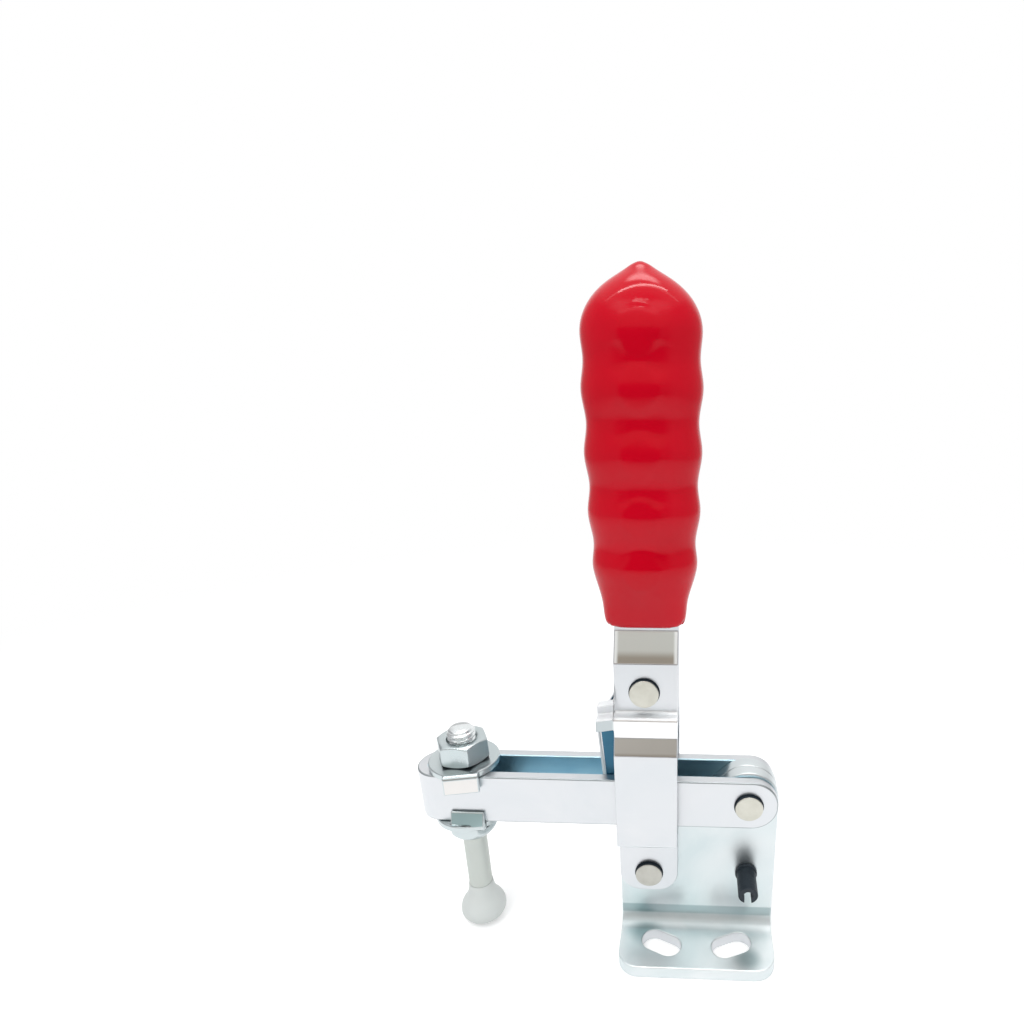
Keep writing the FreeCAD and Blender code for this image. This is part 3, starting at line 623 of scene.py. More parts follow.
def softened(node: str, width: float, material: Material,
             edge: Material | None = None) -> Mesh:
    """The CAD node's shape with rounded edges, dressed and standing for the node.

    Args:
        node: The node whose shape is taken.
        width: Width of the rounding, in metres.
        material: Finish of the piece.
        edge: Finish of the roundings, where they have one of their own.

    Returns:
        The new piece's mesh.
    """
    piece = new_piece(node + "_finished", welded_copy(node))
    piece.data.materials.append(material)
    rounding = piece.modifiers.new("rounding", "BEVEL")
    rounding.material = add_finish(piece.data, edge or material)
    rounding.width = width
    rounding.segments = 3
    rounding.limit_method = "ANGLE"
    rounding.angle_limit = math.radians(38)
    rounding.use_clamp_overlap = False
    rounding.miter_outer = "MITER_ARC"
    shading = piece.modifiers.new("shading", "WEIGHTED_NORMAL")
    shading.keep_sharp = False
    shading.weight = 100
    settle(piece)
    skin = BVHTree.FromObject(frame["nodes"][node], bpy.context.evaluated_depsgraph_get())
    for vertex in piece.data.vertices:
        place, _, _, distance = skin.find_nearest(vertex.co)
        if distance > 0.6 * width:
            vertex.co = place
    stand_in(piece, node)
    return piece.data


def add_finish(mesh: Mesh, material: Material) -> int:
    """Adds a material to a mesh and returns its number for faces."""
    mesh.materials.append(material)
    return len(mesh.materials) - 1


def dress_faces(mesh: Mesh, material: Material,
                wanted: Callable[[Face], bool]) -> None:
    """Gives some faces of a mesh a finish of their own.

    Args:
        mesh: The mesh.
        material: The finish.
        wanted: Tells which faces get it.
    """
    number = add_finish(mesh, material)
    for face in mesh.polygons:
        if wanted(face):
            face.material_index = number


def polar(centre: Vector, radius: float, angle: float, height: float) -> Vector:
    """Point at a radius and an angle round a vertical axis."""
    return Vector((centre.x + radius * math.cos(angle), centre.y + radius * math.sin(angle), height))


def net_piece(name: str, rings: Sequence[Sequence[Vector]], ends: Ends, material: Material) -> Piece:
    """Piece whose skin is a net of rings, each joined to the next.

    Args:
        name: The piece's name.
        rings: Points of each ring; a ring of one point closes an end.
        ends: What closes the ends.
        material: Its finish.

    Returns:
        The piece.
    """
    work = bmesh.new()
    rows = [[work.verts.new(point) for point in ring] for ring in rings]
    sides = max(len(row) for row in rows)
    for low, high in zip(rows, rows[1:] + (rows[:1] if ends is Ends.JOINED else [])):
        for step in range(sides):
            after = (step + 1) % sides
            corners = dict.fromkeys((low[step % len(low)], low[after % len(low)],
                                     high[after % len(high)], high[step % len(high)]))
            work.faces.new(list(corners))
    if ends is Ends.CAPPED:
        work.faces.new(rows[0][::-1])
        work.faces.new(rows[-1])
    bmesh.ops.recalc_face_normals(work, faces=work.faces)
    mesh = bpy.data.meshes.new(name)
    work.to_mesh(mesh)
    work.free()
    mesh.shade_smooth()
    mesh.materials.append(material)
    return new_piece(name, mesh)


def smooth_step(start: float, end: float, value: float) -> float:
    """Smooth change from 0 at start to 1 at end; start may be the larger."""
    share = min(max((value - start) / (end - start), 0.0), 1.0)
    return share * share * (3 - 2 * share)


# Geometry trees

class GrowthTree(Tree):
    """A geometry tree with named size inputs that ends in plain mesh with a material."""

    def __init__(self, name: str, **sizes: Sequence[str]) -> None:
        """Starts the tree.

        Args:
            name: The tree's name.
            sizes: Names of its inputs, under their kind: Float, Int or Vector.
        """
        super().__init__(bpy.data.node_groups.new(name, "GeometryNodeTree"))
        for kind, labels in sizes.items():
            for label in labels:
                self.takes(label, "NodeSocket" + kind)
        self.gives("Geometry", "NodeSocketGeometry")
        self.size = self.add("NodeGroupInput").outputs

    def joined(self, *parts: Socket) -> Socket:
        """Several parts in one geometry."""
        join = self.add("GeometryNodeJoinGeometry")
        for part in parts:
            self.feed(join.inputs[0], part)
        return join.outputs[0]

    def end(self, geometry: Socket) -> None:
        """Closes the tree with Realize Instances and Set Material."""
        real = self.add("GeometryNodeRealizeInstances", {"Geometry": geometry})
        self.dress = self.add("GeometryNodeSetMaterial", {"Geometry": real.outputs[0]})
        self.add("NodeGroupOutput", {"Geometry": self.dress.outputs[0]})

    def grow(self, name: str, material: Material,
             sizes: dict[str, object]) -> Piece:
        """Makes one plain piece from the tree.

        Args:
            name: The piece's name.
            material: Its finish.
            sizes: Values for the named inputs.

        Returns:
            The piece, with no modifier left.
        """
        self.dress.inputs["Material"].default_value = material
        piece = new_piece(name, bpy.data.meshes.new(name))
        growth = piece.modifiers.new("growth", "NODES")
        growth.node_group = self.tree
        for item in self.tree.interface.items_tree:
            if item.in_out == "INPUT":
                growth[item.identifier] = sizes[item.name]
        return settle(piece)


def rivet_tree(rim_steps: int = 4) -> GrowthTree:
    """Tree of a rivet along Y: a shank with a flat head at each point of a short row.

    Args:
        rim_steps: Steps over the rounded rim of a head.

    Returns:
        The tree.
    """
    tree = GrowthTree(
        "rivet", Int=["Heads"], Vector=["First Head", "Next Head", "Shank Middle"],
        Float=["First Turn", "Head Radius", "Head Height", "Rim", "Shade Ring Radius", "Shade Ring Height",
               "Shank Radius", "Shank Length"])
    size = tree.size
    disc = tree.add("GeometryNodeMeshCircle", {
        "Vertices": 72, "Radius": size["Head Radius"]}, fill_type="NGON")
    body = tree.add("GeometryNodeExtrudeMesh", {
        "Mesh": disc.outputs[0], "Offset Scale": tree.minus(size["Head Height"], size["Rim"])})
    mesh, top = body.outputs["Mesh"], body.outputs["Top"]
    for step in range(rim_steps):
        start, end = (math.pi / 2 * count / rim_steps for count in (step, step + 1))
        layer = tree.add("GeometryNodeExtrudeMesh", {
            "Mesh": mesh, "Selection": top,
            "Offset Scale": tree.times(size["Rim"], math.sin(end) - math.sin(start))})
        radius = tree.minus(size["Head Radius"], tree.times(size["Rim"], 1 - math.cos(start)))
        drawn_in = tree.times(size["Rim"], math.cos(start) - math.cos(end))
        top = layer.outputs["Top"]
        mesh = tree.add("GeometryNodeScaleElements", {
            "Geometry": layer.outputs["Mesh"], "Selection": top,
            "Scale": tree.minus(1.0, tree.over(drawn_in, radius))}).outputs[0]
    # A thin disc under each head, dark with painted shade, stands for the shadow round the head.
    shade_disc = tree.add("GeometryNodeMeshCylinder", {
        "Vertices": 72, "Radius": size["Shade Ring Radius"], "Depth": size["Shade Ring Height"]})
    shade_ring = tree.add("GeometryNodeTransform", {
        "Geometry": shade_disc.outputs["Mesh"],
        "Translation": tree.vector(Z=tree.times(size["Shade Ring Height"], 0.5))})
    row = tree.add("GeometryNodeMeshLine", {
        "Count": size["Heads"], "Start Location": size["First Head"],
        "Offset": size["Next Head"]}, mode="OFFSET")
    number = tree.add("GeometryNodeInputIndex").outputs[0]
    heads = tree.add("GeometryNodeInstanceOnPoints", {
        "Points": row.outputs["Mesh"], "Instance": tree.joined(mesh, shade_ring.outputs[0]),
        "Rotation": tree.vector(X=tree.plus(size["First Turn"], tree.times(number, math.pi)))})
    shank = tree.add("GeometryNodeMeshCylinder", {
        "Vertices": 48, "Radius": size["Shank Radius"], "Depth": size["Shank Length"]})
    laid = tree.add("GeometryNodeTransform", {
        "Geometry": shank.outputs["Mesh"], "Translation": size["Shank Middle"],
        "Rotation": (math.pi / 2, 0.0, 0.0)})
    tree.end(tree.joined(heads.outputs[0], laid.outputs[0]))
    return tree


def screw_tree(around: int = 48) -> GrowthTree:
    """Tree of the spindle bolt: a helical thread over a smooth stem, closed at both ends.

    Args:
        around: Steps round the bolt.

    Returns:
        The tree.
    """
    tree = GrowthTree(
        "spindle_screw", Int=["Rows"], Vector=["Axis"],
        Float=["Low", "High", "Thread Low", "Pitch", "Crest Radius", "Thread Depth",
               "Stem Radius", "Tip Chamfer"])
    size = tree.size
    grid = tree.add("GeometryNodeMeshGrid", {
        "Size X": 1.0, "Size Y": 1.0, "Vertices X": around + 1, "Vertices Y": size["Rows"]})
    x, y, _ = tree.axes(tree.add("GeometryNodeInputPosition").outputs[0])
    across, up = tree.plus(x, 0.5), tree.plus(y, 0.5)
    one_row = tree.over(1.0, tree.minus(size["Rows"], 1.0))
    body_up = tree.math("DIVIDE", tree.minus(up, one_row),
                        tree.minus(1.0, tree.times(one_row, 2.0)), clamp=True)
    height = tree.plus(size["Low"], tree.times(body_up, tree.minus(size["High"], size["Low"])))
    turns = tree.minus(tree.over(height, size["Pitch"]), across)
    saw = tree.unsigned(tree.minus(tree.math("FRACT", turns), 0.5))
    cut = tree.minus(size["Crest Radius"], tree.times(size["Thread Depth"], tree.span(saw, 0.06, 0.46)))
    threaded = tree.math("GREATER_THAN", height, size["Thread Low"])
    run = tree.plus(size["Stem Radius"], tree.times(threaded, tree.minus(cut, size["Stem Radius"])))
    cone = tree.plus(tree.minus(size["Crest Radius"], size["Tip Chamfer"]),
                     tree.minus(size["High"], height))
    half_row = tree.times(one_row, 0.5)
    inside = tree.times(tree.math("GREATER_THAN", up, half_row),
                        tree.math("LESS_THAN", up, tree.minus(1.0, half_row)))
    radius = tree.times(tree.math("MINIMUM", run, cone), inside)
    angle = tree.times(across, math.tau)
    point = tree.vector(X=tree.times(radius, tree.math("COSINE", angle)),
                        Y=tree.times(radius, tree.math("SINE", angle)), Z=height)
    shaped = tree.add("GeometryNodeSetPosition", {
        "Geometry": grid.outputs["Mesh"], "Position": tree.vectors("ADD", point, size["Axis"])})
    closed = tree.add("GeometryNodeMergeByDistance", {"Geometry": shaped.outputs[0], "Distance": 1e-6})
    smooth = tree.add("GeometryNodeSetShadeSmooth", {"Geometry": closed.outputs[0]})
    tree.end(smooth.outputs[0])
    return tree


# Sub-assemblies

@dataclass
class Rivets:
    """The five pivot rivets, each a shank with flat proud heads and a thin dark ring of painted shade
    under each head.
    """

    finishes: Finishes
    head_diameter: float = 5.9 * MM
    shade_ring_diameter: float = 6.3 * MM
    shade_ring_height: float = 0.12 * MM
    shank_diameter: float = 4.9 * MM
    head_height: float = 1.0 * MM
    rim: float = 0.15 * MM

    def build(self) -> None:
        """Makes every rivet from its CAD node's box."""
        tree = rivet_tree()
        for node in ("arm_pivot_rivet", "handle_pivot_rivet", "link_upper_rivet"):
            self.rivet(tree, node, True, True)
        self.rivet(tree, "link_lower_rivet_front", True, False)
        self.rivet(tree, "link_lower_rivet_rear", False, True)

    def rivet(self, tree: GrowthTree, node: str, front: bool, rear: bool) -> None:
        """Makes one rivet.

        Args:
            tree: The rivet tree.
            node: The CAD node that it replaces.
            front: Whether it has a head at the front.
            rear: Whether it has a head at the back.
        """
        low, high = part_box(node)
        middle = (low + high) / 2
        front_face = low.y + self.head_height
        rear_face = high.y - self.head_height
        first = front_face if front else rear_face
        shank_low = front_face if front else low.y
        shank_high = rear_face if rear else high.y
        piece = tree.grow(node + "_finished", self.finishes.rivet, {
            "Heads": int(front) + int(rear),
            "First Head": (middle.x, first, middle.z),
            "Next Head": (0.0, rear_face - front_face, 0.0),
            "First Turn": math.pi / 2 if front else -math.pi / 2,
            "Head Radius": self.head_diameter / 2,
            "Head Height": self.head_height,
            "Rim": self.rim,
            "Shade Ring Radius": self.shade_ring_diameter / 2,
            "Shade Ring Height": self.shade_ring_height,
            "Shank Radius": self.shank_diameter / 2,
            "Shank Length": shank_high - shank_low,
            "Shank Middle": (middle.x, (shank_low + shank_high) / 2, middle.z),
        })
        wall = self.head_height - self.rim
        # Head walls and the thin ring under each head get painted shade.
        dress_faces(piece.data, self.finishes.rivet_wall, lambda face: (
            min(abs(face.center.y - front_face), abs(face.center.y - rear_face)) < wall))
        stand_in(piece, node)


@dataclass
class Base:
    """Two plated angle brackets and the slit pin that stops the handle."""

    finishes: Finishes
    edge: float = 0.28 * MM
    pin_edge: float = 0.12 * MM
    slot_middle: Pair = (7.9 * MM, 9.4 * MM)
    slot_reach: Pair = (5.2 * MM, 4.2 * MM)

    def build(self) -> None:
        """Makes the brackets, with plain zinc on the slot walls, and the pin."""
        for node in ("base_front_bracket", "base_rear_bracket"):
            # The bracket finish carries painted shade and a painted lighter flange top.
            bracket = softened(node, self.edge, self.finishes.bracket)
            dress_faces(bracket, self.finishes.sheet, self.in_slot)
        softened("handle_stop_pin", self.pin_edge, self.finishes.pin)

    def in_slot(self, face: Face) -> bool:
        """Whether a face is part of the wall of a screw slot.

        Args:
            face: The bracket's face.

        Returns:
            Whether it is upright and near the middle of a slot.
        """
        return abs(face.normal.z) < 0.5 and all(
            abs(abs(place) - middle) < reach
            for place, middle, reach in zip(face.center, self.slot_middle, self.slot_reach))


@dataclass
class ArmAndLink:
    """The folded clamping arm and the channel link that draws it down."""

    finishes: Finishes
    arm_edge: float = 0.3 * MM
    link_edge: float = 0.22 * MM

    def build(self) -> None:
        """Makes the arm and the link, with painted blue shade on the faces that light hardly reaches.

        The link's long edges are dull with a pale painted highlight; the link's flanks and the arm's
        rounded edges get painted shade.
        """
        # The arm's rounded edges get painted shade as dark outlines.
        arm = softened("clamp_arm", self.arm_edge, self.finishes.sheet, self.finishes.edge)
        # Inner faces of the arm get painted blue shade.
        dress_faces(arm, self.finishes.sheltered, lambda face: (
            face.center.y * face.normal.y < -1e-4))
        link = softened("inner_link", self.link_edge, self.finishes.sheet)
        # The link's flanks between the plates get deep painted shade.
        dress_faces(link, self.finishes.shaded, lambda face: abs(face.normal.y) > 0.9)
        # The link's long edges get a pale painted highlight.
        dress_faces(link, self.finishes.ridge, lambda face: abs(face.normal.x) > 0.7)


@dataclass
class Handle:
    """Two joggled plates and the dipped grip with its finger hollows."""

    finishes: Finishes
    plate_edge: float = 0.25 * MM
    plate_side: float = -17.15 * MM
    ear_slope: float = 0.17
    fold_area: float = 1e-5
    bright_strip: Pair = (55.5 * MM, 59.4 * MM)
    ridge: Pair = (59.4 * MM, 62.0 * MM)
    around: int = 120
    ray_length: float = 40 * MM
    end_inset: float = 0.02 * MM
    wave_inset: float = 6 * MM
    least_radius: float = 0.05 * MM
    row_height: float = 0.4 * MM
    tip_row_height: float = 0.16 * MM
    dome_height: float = 9.0 * MM
    pad_half_width: float = 4.0 * MM
    pad_half_height: float = 3.9 * MM
    pad_lift: float = 0.15 * MM
    hollow_depth: float = 0.12 * MM
    nub_height: float = 0.8 * MM
    mouth_height: float = 10.0 * MM
    mouth_squareness: float = 2.4

    def build(self) -> None:
        """Makes the plates and the grip, and dresses the hidden grip rivets."""
        for node in ("handle_front_plate", "handle_rear_plate"):
            self.plate(node)
        for node in ("grip_lower_rivet", "grip_upper_rivet"):
            for holder in frame["nodes"][node].material_slots:
                holder.material = self.finishes.rivet
        self.grip()

    def plate(self, node: str) -> None:
        """Makes a plate, with its joggles dulled and painted with shade, a pale painted highlight on
        the ridge's top, a painted highlight on one strip and its ear sloping down.
        """
        plate = softened(node, self.plate_edge, self.finishes.sheet)
        dress_faces(plate, self.finishes.folded, lambda face: (
            face.area > self.fold_area and 0.2 < abs(face.normal.z) < 0.9))
        # Upward faces of the ridge get a pale painted highlight.
        dress_faces(plate, self.finishes.ridge, lambda face: (
            face.normal.z > 0.25 and self.ridge[0] < face.center.z < self.ridge[1]))
        low, high = self.bright_strip
        dress_faces(plate, self.finishes.burnished, lambda face: (
            low < face.center.z < high and face.center.y * face.normal.y > 5 * MM))
        for vertex in plate.vertices:
            vertex.co.z -= self.ear_slope * max(self.plate_side - vertex.co.x, 0.0)

    def skin_radius(self, skin: BVHTree, centre: Vector, angle: float, height: float) -> float:
        """Distance from the grip's axis to the CAD skin.

        Args:
            skin: The CAD grip's surface.
            centre: Point on the axis.
            angle: Direction round the axis, in radians.
            height: Height of the ray.

        Returns:
            The distance, or 0 where the ray misses.
        """
        outward = Vector((math.cos(angle), math.sin(angle), 0.0))
        axis = Vector((centre.x, centre.y, height))
        hit = skin.ray_cast(axis + outward * self.ray_length, -outward, self.ray_length)[0]
        return (hit - axis).dot(outward) if hit else 0.0

    def rows(self, low: float, high: float) -> list[float]:
        """Heights of the grip's rings, closer together over the dome."""
        heights = []
        height = low + self.end_inset
        while height < high - self.end_inset:
            heights.append(height)
            height += self.tip_row_height if height > high - self.dome_height else self.row_height
        return heights + [high - self.end_inset]

    def waves(self, heights: Sequence[float], widths: Sequence[float],
              low: float, high: float) -> tuple[list[float], list[float]]:
        """Heights of the bulges and of the necks in the grip's outline.

        Args:
            heights: Heights of the rings.
            widths: Half widths of the rings.
            low: Lowest height to look at.
            high: Highest height to look at.

        Returns:
            The bulges and the necks.
        """
        bulges, necks = [], []
        for index in range(2, len(heights) - 2):
            if not low < heights[index] < high:
                continue
            here = widths[index]
            around = [widths[index + step] for step in (-2, -1, 1, 2)]
            if here > max(around):
                bulges.append(heights[index])
            elif here < min(around):
                necks.append(heights[index])
        return bulges, necks

    def relief(self, across: float, height: float, bulges: Sequence[float],
               necks: Sequence[float]) -> float:
        """How far the skin stands out of its oval section at a point of the front or back."""
        lift = 0.0
        for bulge in bulges:
            reach = math.hypot(across / self.pad_half_width, (height - bulge) / self.pad_half_height)
            lift += self.pad_lift * smooth_step(1.12, 0.82, reach)
        for neck in necks:
            spread = 1.0 * MM + 1.5 * MM * smooth_step(9 * MM, 3 * MM, abs(across))
            inner = smooth_step(1.5 * MM, 3.2 * MM, abs(across))
            lift -= self.hollow_depth * inner * smooth_step(1.25, 0.7, abs(height - neck) / spread)
        return lift

    def squared(self, angle: float, above_mouth: float, half_width: float,
                half_depth: float) -> float:
        """How much further out the skin lies than an ellipse where the plates square the mouth.

        Args:
            angle: Direction round the axis, in radians.
            above_mouth: Height above the grip's mouth.
            half_width: Half width of the ring.
            half_depth: Half depth of the ring.

        Returns:
            Factor for the radius.
        """
        power = 2 + self.mouth_squareness * smooth_step(self.mouth_height, 0.0, above_mouth)
        across = abs(math.cos(angle)) / half_width
        deep = abs(math.sin(angle)) / half_depth
        return math.hypot(across, deep) / (across**power + deep**power) ** (1 / power)

    def grip(self) -> None:
        """Wraps a regular net round the CAD grip and presses the finger hollows into it."""
        node = "handle_grip"
        skin = BVHTree.FromObject(frame["nodes"][node], bpy.context.evaluated_depsgraph_get())
        low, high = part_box(node)
        centre = (low + high) / 2
        heights = self.rows(low.z, high.z)
        widths = [self.skin_radius(skin, centre, 0.0, height) for height in heights]
        bulges, necks = self.waves(
            heights, widths, low.z + self.wave_inset, high.z - self.wave_inset)
        LOG.info("grip bulges %s, necks %s", *(
            [round(height / MM, 1) for height in group] for group in (bulges, necks)))
        rings = []
        for height, half_width in zip(heights, widths):
            half_depth = self.skin_radius(skin, centre, math.pi / 2, height)
            closing = math.sqrt(1 - max(1 - (high.z - height) / self.nub_height, 0.0)**2)
            rings.append([])
            for step in range(self.around):
                angle = math.tau * step / self.around
                radius = max(self.skin_radius(skin, centre, angle, height), self.least_radius)
                radius *= self.squared(angle, height - low.z, half_width, half_depth) * closing
                facing = abs(math.sin(angle)) ** 1.5
                radius += facing * self.relief(radius * math.cos(angle), height, bulges, necks)
                rings[-1].append(polar(centre, radius, angle, height))
        piece = net_piece(node + "_finished", rings, Ends.CAPPED, self.finishes.grip)
        flow = piece.modifiers.new("flow", "SMOOTH")
        flow.factor = 0.5
        flow.iterations = 6
        upper = piece.vertex_groups.new(name="above_mouth")
        upper.add([vertex.index for vertex in piece.data.vertices
                   if vertex.co.z > low.z + self.mouth_height], 1.0, "REPLACE")
        flow.vertex_group = upper.name
        stand_in(settle(piece), node)


@dataclass
class Spindle:
    """Bolt, two nuts, two flanged washers and the rubber cap."""

    finishes: Finishes
    pitch: float = 1.0 * MM
    thread_depth: float = 0.55 * MM
    thread_low: float = 24.6 * MM
    stem_diameter: float = 5.3 * MM
    crest_diameter: float = 6.0 * MM
    tip_chamfer: float = 0.7 * MM
    rows_per_turn: int = 10
    nut_flats: float = 10.0 * MM
    nut_bore: float = 6.1 * MM
    nut_lead: float = 0.35 * MM
    nut_softening: float = 0.1 * MM
    nut_sides: int = 144
    nut_chamfer_share: float = 0.96
    nut_slope: float = 30.0
    nut_turn: float = -2.0
    crown_height: float = 3.4 * MM
    crown_radius: float = 4.4 * MM
    crown_face: float = 3.9 * MM
    crown_steps: int = 8
    washer_edge: float = 0.3 * MM
    tab_area: float = 8e-6
    cap_sides: int = 72
    cap_profile: tuple[Pair, ...] = (
        (0.0, 0.0), (2.4, 0.0), (3.3, 0.15), (4.1, 0.55), (4.75, 1.2), (5.15, 2.0), (5.28, 2.7),
        (5.25, 3.4), (5.05, 4.2), (4.65, 5.0), (4.15, 5.7), (3.7, 6.4), (3.35, 7.2), (3.1, 8.1),
        (2.92, 9.1), (2.82, 10.0), (2.68, 10.08))

    def build(self) -> None:
        """Makes every piece of the spindle set."""
        low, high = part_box("spindle_bolt")
        self.bolt(low, high)
        for node, crowned in (("spindle_upper_nut", False), ("spindle_lower_nut", True)):
            self.nut(node, (low + high) / 2, crowned)
        # The upper washer's tab gets a painted highlight, the lower washer's tab teal painted shade.
        for node, tab in (("upper_flanged_washer", self.finishes.bright_tab),
                          ("lower_flanged_washer", self.finishes.tab)):
            washer = softened(node, self.washer_edge, self.finishes.bolt)
            dress_faces(washer, tab, lambda face: (
                abs(face.normal.y) > 0.7 and face.area > self.tab_area))
        self.cap()

    def bolt(self, low: Vector, high: Vector) -> None:
        """Grows the threaded rod between the corners of its node's box."""
        centre = (low + high) / 2
        piece = screw_tree().grow("spindle_bolt_finished", self.finishes.thread, {
            "Axis": (centre.x, centre.y, 0.0),
            "Low": low.z,
            "High": high.z,
            "Thread Low": self.thread_low,
            "Pitch": self.pitch,
            "Crest Radius": self.crest_diameter / 2,
            "Thread Depth": self.thread_depth,
            "Stem Radius": self.stem_diameter / 2,
            "Tip Chamfer": self.tip_chamfer,
            "Rows": int((high.z - low.z) / self.pitch * self.rows_per_turn),
        })
        dress_faces(piece.data, self.finishes.stem, lambda face: face.center.z < self.thread_low)
        stand_in(piece, "spindle_bolt")

    def nut_section(self, edge: float, low: float, high: float, crowned: bool) -> list[Pair]:
        """Radius and height pairs once round the wall of a nut, in one direction from its axis.

        Args:
            edge: Distance from the axis to the hexagon in this direction.
            low: Height of the lower face.
            high: Height of the upper face.
            crowned: Whether the lower end is rounded all over.

        Returns:
            The pairs, from the bore's foot outwards and back to its top.
        """
        bore, lead, soft = self.nut_bore / 2, self.nut_lead, self.nut_softening
        slope = math.tan(math.radians(self.nut_slope))
        face = self.nut_flats / 2 * self.nut_chamfer_share
        drop = max(edge - face, 0.0) * slope
        section = [(bore, low + lead)]
        if crowned:
            corner = self.nut_flats / math.sqrt(3)
            deepest = self.crown_radius - math.sqrt(self.crown_radius**2 - self.crown_height**2)
            for step in range(self.crown_steps + 1):
                share = step / self.crown_steps
                bow = self.crown_radius - self.crown_radius * math.cos(
                    math.asin(min((1 - share) * self.crown_height / self.crown_radius, 1.0)))
                reach = corner - bow * (corner - self.crown_face) / deepest
                section.append((min(edge, reach), low + share * self.crown_height))
        else:
            section += [(bore + lead, low), (face, low), (edge - soft, low + drop - soft * slope),
                        (edge, low + drop + soft)]
        section += [(edge, high - drop - soft), (edge - soft, high - drop + soft * slope),
                    (face, high), (bore + lead, high), (bore, high - lead)]
        return section

    def nut(self, node: str, centre: Vector, crowned: bool) -> None:
        """Makes a hexagon nut whose corners are cut by a cone.

        Args:
            node: The CAD node that it replaces.
            centre: A point on the bolt's axis.
            crowned: Whether the lower end is rounded all over.
        """
        low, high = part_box(node)
        columns = []
        for step in range(self.nut_sides):
            angle = math.tau * step / self.nut_sides
            from_flat = (math.degrees(angle) % 60) - 30
            turn = angle + math.radians(self.nut_turn)
            edge = self.nut_flats / 2 / math.cos(math.radians(from_flat))
            columns.append([polar(centre, radius, turn, height) for radius, height
                            in self.nut_section(edge, low.z, high.z, crowned)])
        piece = net_piece(node + "_finished", list(zip(*columns)), Ends.JOINED, self.finishes.bolt)
        # The upper nut's downward faces get painted shade.
        dress_faces(piece.data, self.finishes.seam, lambda face: (
            not crowned and face.normal.z < -0.3))
        piece.modifiers.new("shading", "WEIGHTED_NORMAL").weight = 100
        stand_in(settle(piece), node)

    def cap(self) -> None:
        """Turns the rubber foot with its round belly and flared neck."""
        low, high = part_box("spindle_cap")
        rings = [[polar((low + high) / 2, radius * MM, math.tau * step / self.cap_sides,
                        low.z + height * MM) for step in range(self.cap_sides if radius else 1)]
                 for radius, height in self.cap_profile]
        piece = net_piece("spindle_cap_finished", rings, Ends.OPEN, self.finishes.cap)
        stand_in(piece, "spindle_cap")


# Studio

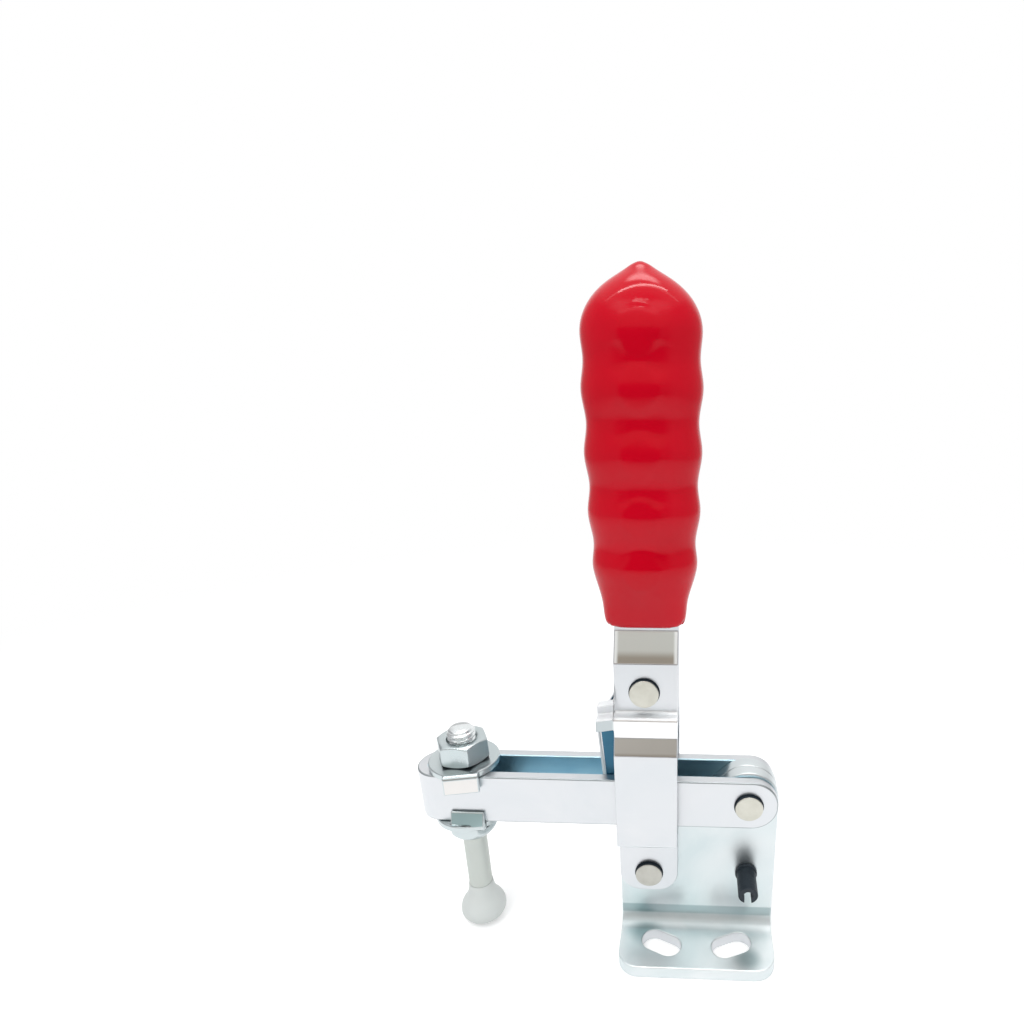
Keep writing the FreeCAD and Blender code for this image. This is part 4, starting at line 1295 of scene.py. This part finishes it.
@dataclass
class Studio:
    """Camera at the photograph's place, pale floor, white surroundings and soft lamps."""

    focal_pixels: float = 639.05
    aim_pixel: Pair = (663.3, 619.8)
    stand: tuple[float, float, float] = (-1.303 * MM, -118.813 * MM, 123.148 * MM)
    yaw: float = 2.975
    pitch: float = 20.863
    roll: float = -0.373
    sensor: float = 36.0
    floor_side: float = 30.0
    floor_drop: float = 0.05 * MM
    floor_tone: Colour = (0.84, 0.84, 0.84)
    floor_lift: float = 0.34
    floor_fade: Pair = (0.10, 0.40)
    dim_floor: Pair = (0.24, 0.60)
    dim_ahead: Pair = (0.15, 0.62)
    dim_beside: Pair = (0.5, 0.8)
    room_tones: tuple[tuple[float, Colour], ...] = (
        (0.0, (0.07, 0.07, 0.075)), (0.12, (0.13, 0.125, 0.12)), (0.21, (0.66, 0.53, 0.46)),
        (0.36, (0.74, 0.62, 0.55)), (0.50, (0.80, 0.75, 0.69)), (0.60, (0.95, 0.95, 0.93)),
        (0.67, (1.7, 1.75, 1.75)), (0.78, (1.7, 1.75, 1.75)), (0.86, (0.40, 0.40, 0.40)))
    overhead_glow: Colour = (6.0, 6.0, 6.0)
    side_tone: Colour = (0.45, 0.45, 0.46)
    ambient: Colour = (0.57, 0.575, 0.58)
    lamp_target: tuple[float, float, float] = (-15 * MM, 0.0, 60 * MM)

    def build(self) -> None:
        """Makes the camera, the floor, the world and the lamps."""
        bpy.context.scene.view_settings.view_transform = "Standard"
        self.camera()
        self.floor()
        self.world()
        self.lamps()

    def camera(self) -> None:
        """Stands the camera where the photograph was taken from."""
        yaw, pitch, roll = (math.radians(angle) for angle in (self.yaw, self.pitch, self.roll))
        ahead = Vector((-math.sin(yaw) * math.cos(pitch), math.cos(yaw) * math.cos(pitch),
                        -math.sin(pitch)))
        level = Vector((math.cos(yaw), math.sin(yaw), 0.0))
        upright = level.cross(ahead)
        right = level * math.cos(roll) + upright * math.sin(roll)
        up = upright * math.cos(roll) - level * math.sin(roll)
        data = bpy.data.cameras.new("photo_camera")
        data.sensor_width = self.sensor
        data.lens = self.focal_pixels * self.sensor / PHOTO_SIDE
        data.shift_x = (PHOTO_SIDE / 2 - self.aim_pixel[0]) / PHOTO_SIDE
        data.shift_y = (self.aim_pixel[1] - PHOTO_SIDE / 2) / PHOTO_SIDE
        data.clip_start = 0.005
        data.clip_end = 100.0
        camera = bpy.data.objects.new("photo_camera", data)
        bpy.context.scene.collection.objects.link(camera)
        turn = Matrix((right, up, -ahead)).transposed().to_4x4()
        camera.matrix_world = Matrix.Translation(Vector(self.stand)) @ turn
        bpy.context.scene.camera = camera

    def floor(self) -> None:
        """Lays a wide pale floor that keeps the clamp's shadow."""
        half = self.floor_side / 2
        mesh = bpy.data.meshes.new("studio_floor")
        mesh.from_pydata([(-half, -half, 0.0), (half, -half, 0.0), (half, half, 0.0),
                          (-half, half, 0.0)], [], [(0, 1, 2, 3)])
        floor = new_piece("studio_floor", mesh)
        floor.location.z = -self.floor_drop
        material = bpy.data.materials.new("studio_floor_pale")
        material.use_nodes = True
        tree = Tree(material.node_tree)
        tree.tree.nodes.remove(tree.tree.nodes["Principled BSDF"])
        path = tree.add("ShaderNodeLightPath").outputs
        glossy = path["Is Glossy Ray"]
        seen = tree.math("MAXIMUM", tree.math("MAXIMUM", path["Is Camera Ray"], glossy),
                         path["Is Transmission Ray"])
        place = tree.add("ShaderNodeNewGeometry").outputs["Position"]
        distance = tree.vectors("LENGTH", place)
        x, y, _ = tree.axes(place)
        tone = WHITE
        for way, spread, dimmed in ((tree.times(y, -1.0), self.dim_ahead, self.room_tones[0][1]),
                                    (tree.unsigned(x), self.dim_beside, self.side_tone)):
            wedge = tree.times(tree.span(tree.over(way, distance), *spread),
                               tree.span(way, *self.dim_floor))
            tone = tree.mix(tree.times(wedge, glossy), tone, dimmed)
        paper = tree.add("ShaderNodeBsdfDiffuse", {"Color": rgba(self.floor_tone)})
        lift = tree.add("ShaderNodeEmission", {
            "Color": rgba(WHITE), "Strength": tree.times(seen, self.floor_lift)})
        close = tree.add("ShaderNodeAddShader", {0: paper.outputs[0], 1: lift.outputs[0]})
        white = tree.add("ShaderNodeEmission", {"Color": tone, "Strength": 1.0})
        far = tree.times(seen, tree.span(distance, *self.floor_fade))
        both = tree.add("ShaderNodeMixShader", {0: far, 1: close.outputs[0], 2: white.outputs[0]})
        tree.feed(tree.tree.nodes["Material Output"].inputs["Surface"], both.outputs[0])
        mesh.materials.append(material)

    def world(self) -> None:
        """Surrounds the clamp with white, with a dim warm room behind the camera."""
        world = bpy.data.worlds.new("studio_world")
        world.use_nodes = True
        bpy.context.scene.world = world
        tree = Tree(world.node_tree)
        path = tree.add("ShaderNodeLightPath").outputs
        x, y, z = tree.axes(tree.add("ShaderNodeTexCoord").outputs["Generated"])
        aside = tree.unsigned(x)
        room = tree.add("ShaderNodeValToRGB", {"Fac": z})
        for number, (height, tone) in enumerate(self.room_tones):
            stops = room.color_ramp.elements
            stop = stops[number] if number < len(stops) else stops.new(height)
            stop.position = height
            stop.color = rgba(tone)
        ahead = tree.span(tree.times(y, -1.0), *self.dim_ahead)
        beside = tree.times(tree.span(aside, *self.dim_beside), tree.span(z, 0.8, 0.6))
        overhead = tree.times(tree.times(tree.span(z, 0.88, 0.95), tree.span(y, 0.14, 0.22)),
                              tree.span(aside, 0.34, 0.18))
        mirrored = WHITE
        for share, tone in ((ahead, room.outputs["Color"]), (beside, self.side_tone),
                            (overhead, self.overhead_glow)):
            mirrored = tree.mix(share, mirrored, tone)
        bright = tree.mix(path["Is Glossy Ray"], self.ambient, mirrored)
        shown = tree.math("MAXIMUM", path["Is Camera Ray"], path["Is Transmission Ray"])
        tree.feed(tree.tree.nodes["Background"].inputs["Color"], tree.mix(shown, bright, WHITE))

    def lamps(self) -> None:
        """Hangs the soft lamps: key, fill, back and narrow strips above, which gloss shows."""
        for name, place, wide, tall, power in (
                ("key_lamp", (-0.25, -0.40, 0.90), 0.5, 0.5, 3.2),
                ("fill_lamp", (0.60, -0.35, 0.35), 0.5, 0.5, 0.7),
                ("back_lamp", (0.10, 0.70, 0.60), 0.6, 0.4, 0.9),
                ("strip_lamp", (-0.01, -0.02, 0.75), 0.66, 0.045, 1.1),
                ("strip_tail", (-0.01, -0.05, 0.76), 1.20, 0.03, 0.30),
                ("strip_low", (-0.02, -0.47, 0.86), 0.30, 0.03, 0.22)):
            data = bpy.data.lights.new(name, "AREA")
            data.shape = "RECTANGLE"
            data.size = wide
            data.size_y = tall
            data.energy = power
            lamp = bpy.data.objects.new(name, data)
            bpy.context.scene.collection.objects.link(lamp)
            lamp.location = place
            toward = Vector(self.lamp_target) - Vector(place)
            lamp.rotation_euler = toward.to_track_quat("-Z", "Y").to_euler()
            lamp.visible_glossy = "strip" in name


def main() -> None:
    """Builds the studio and every sub-assembly in order."""
    logging.basicConfig(level=logging.INFO, format="%(message)s")
    finishes = Finishes()
    Studio().build()
    for assembly in (Base, ArmAndLink, Handle, Rivets, Spindle):
        assembly(finishes).build()


if __name__ == "__main__":
    main()
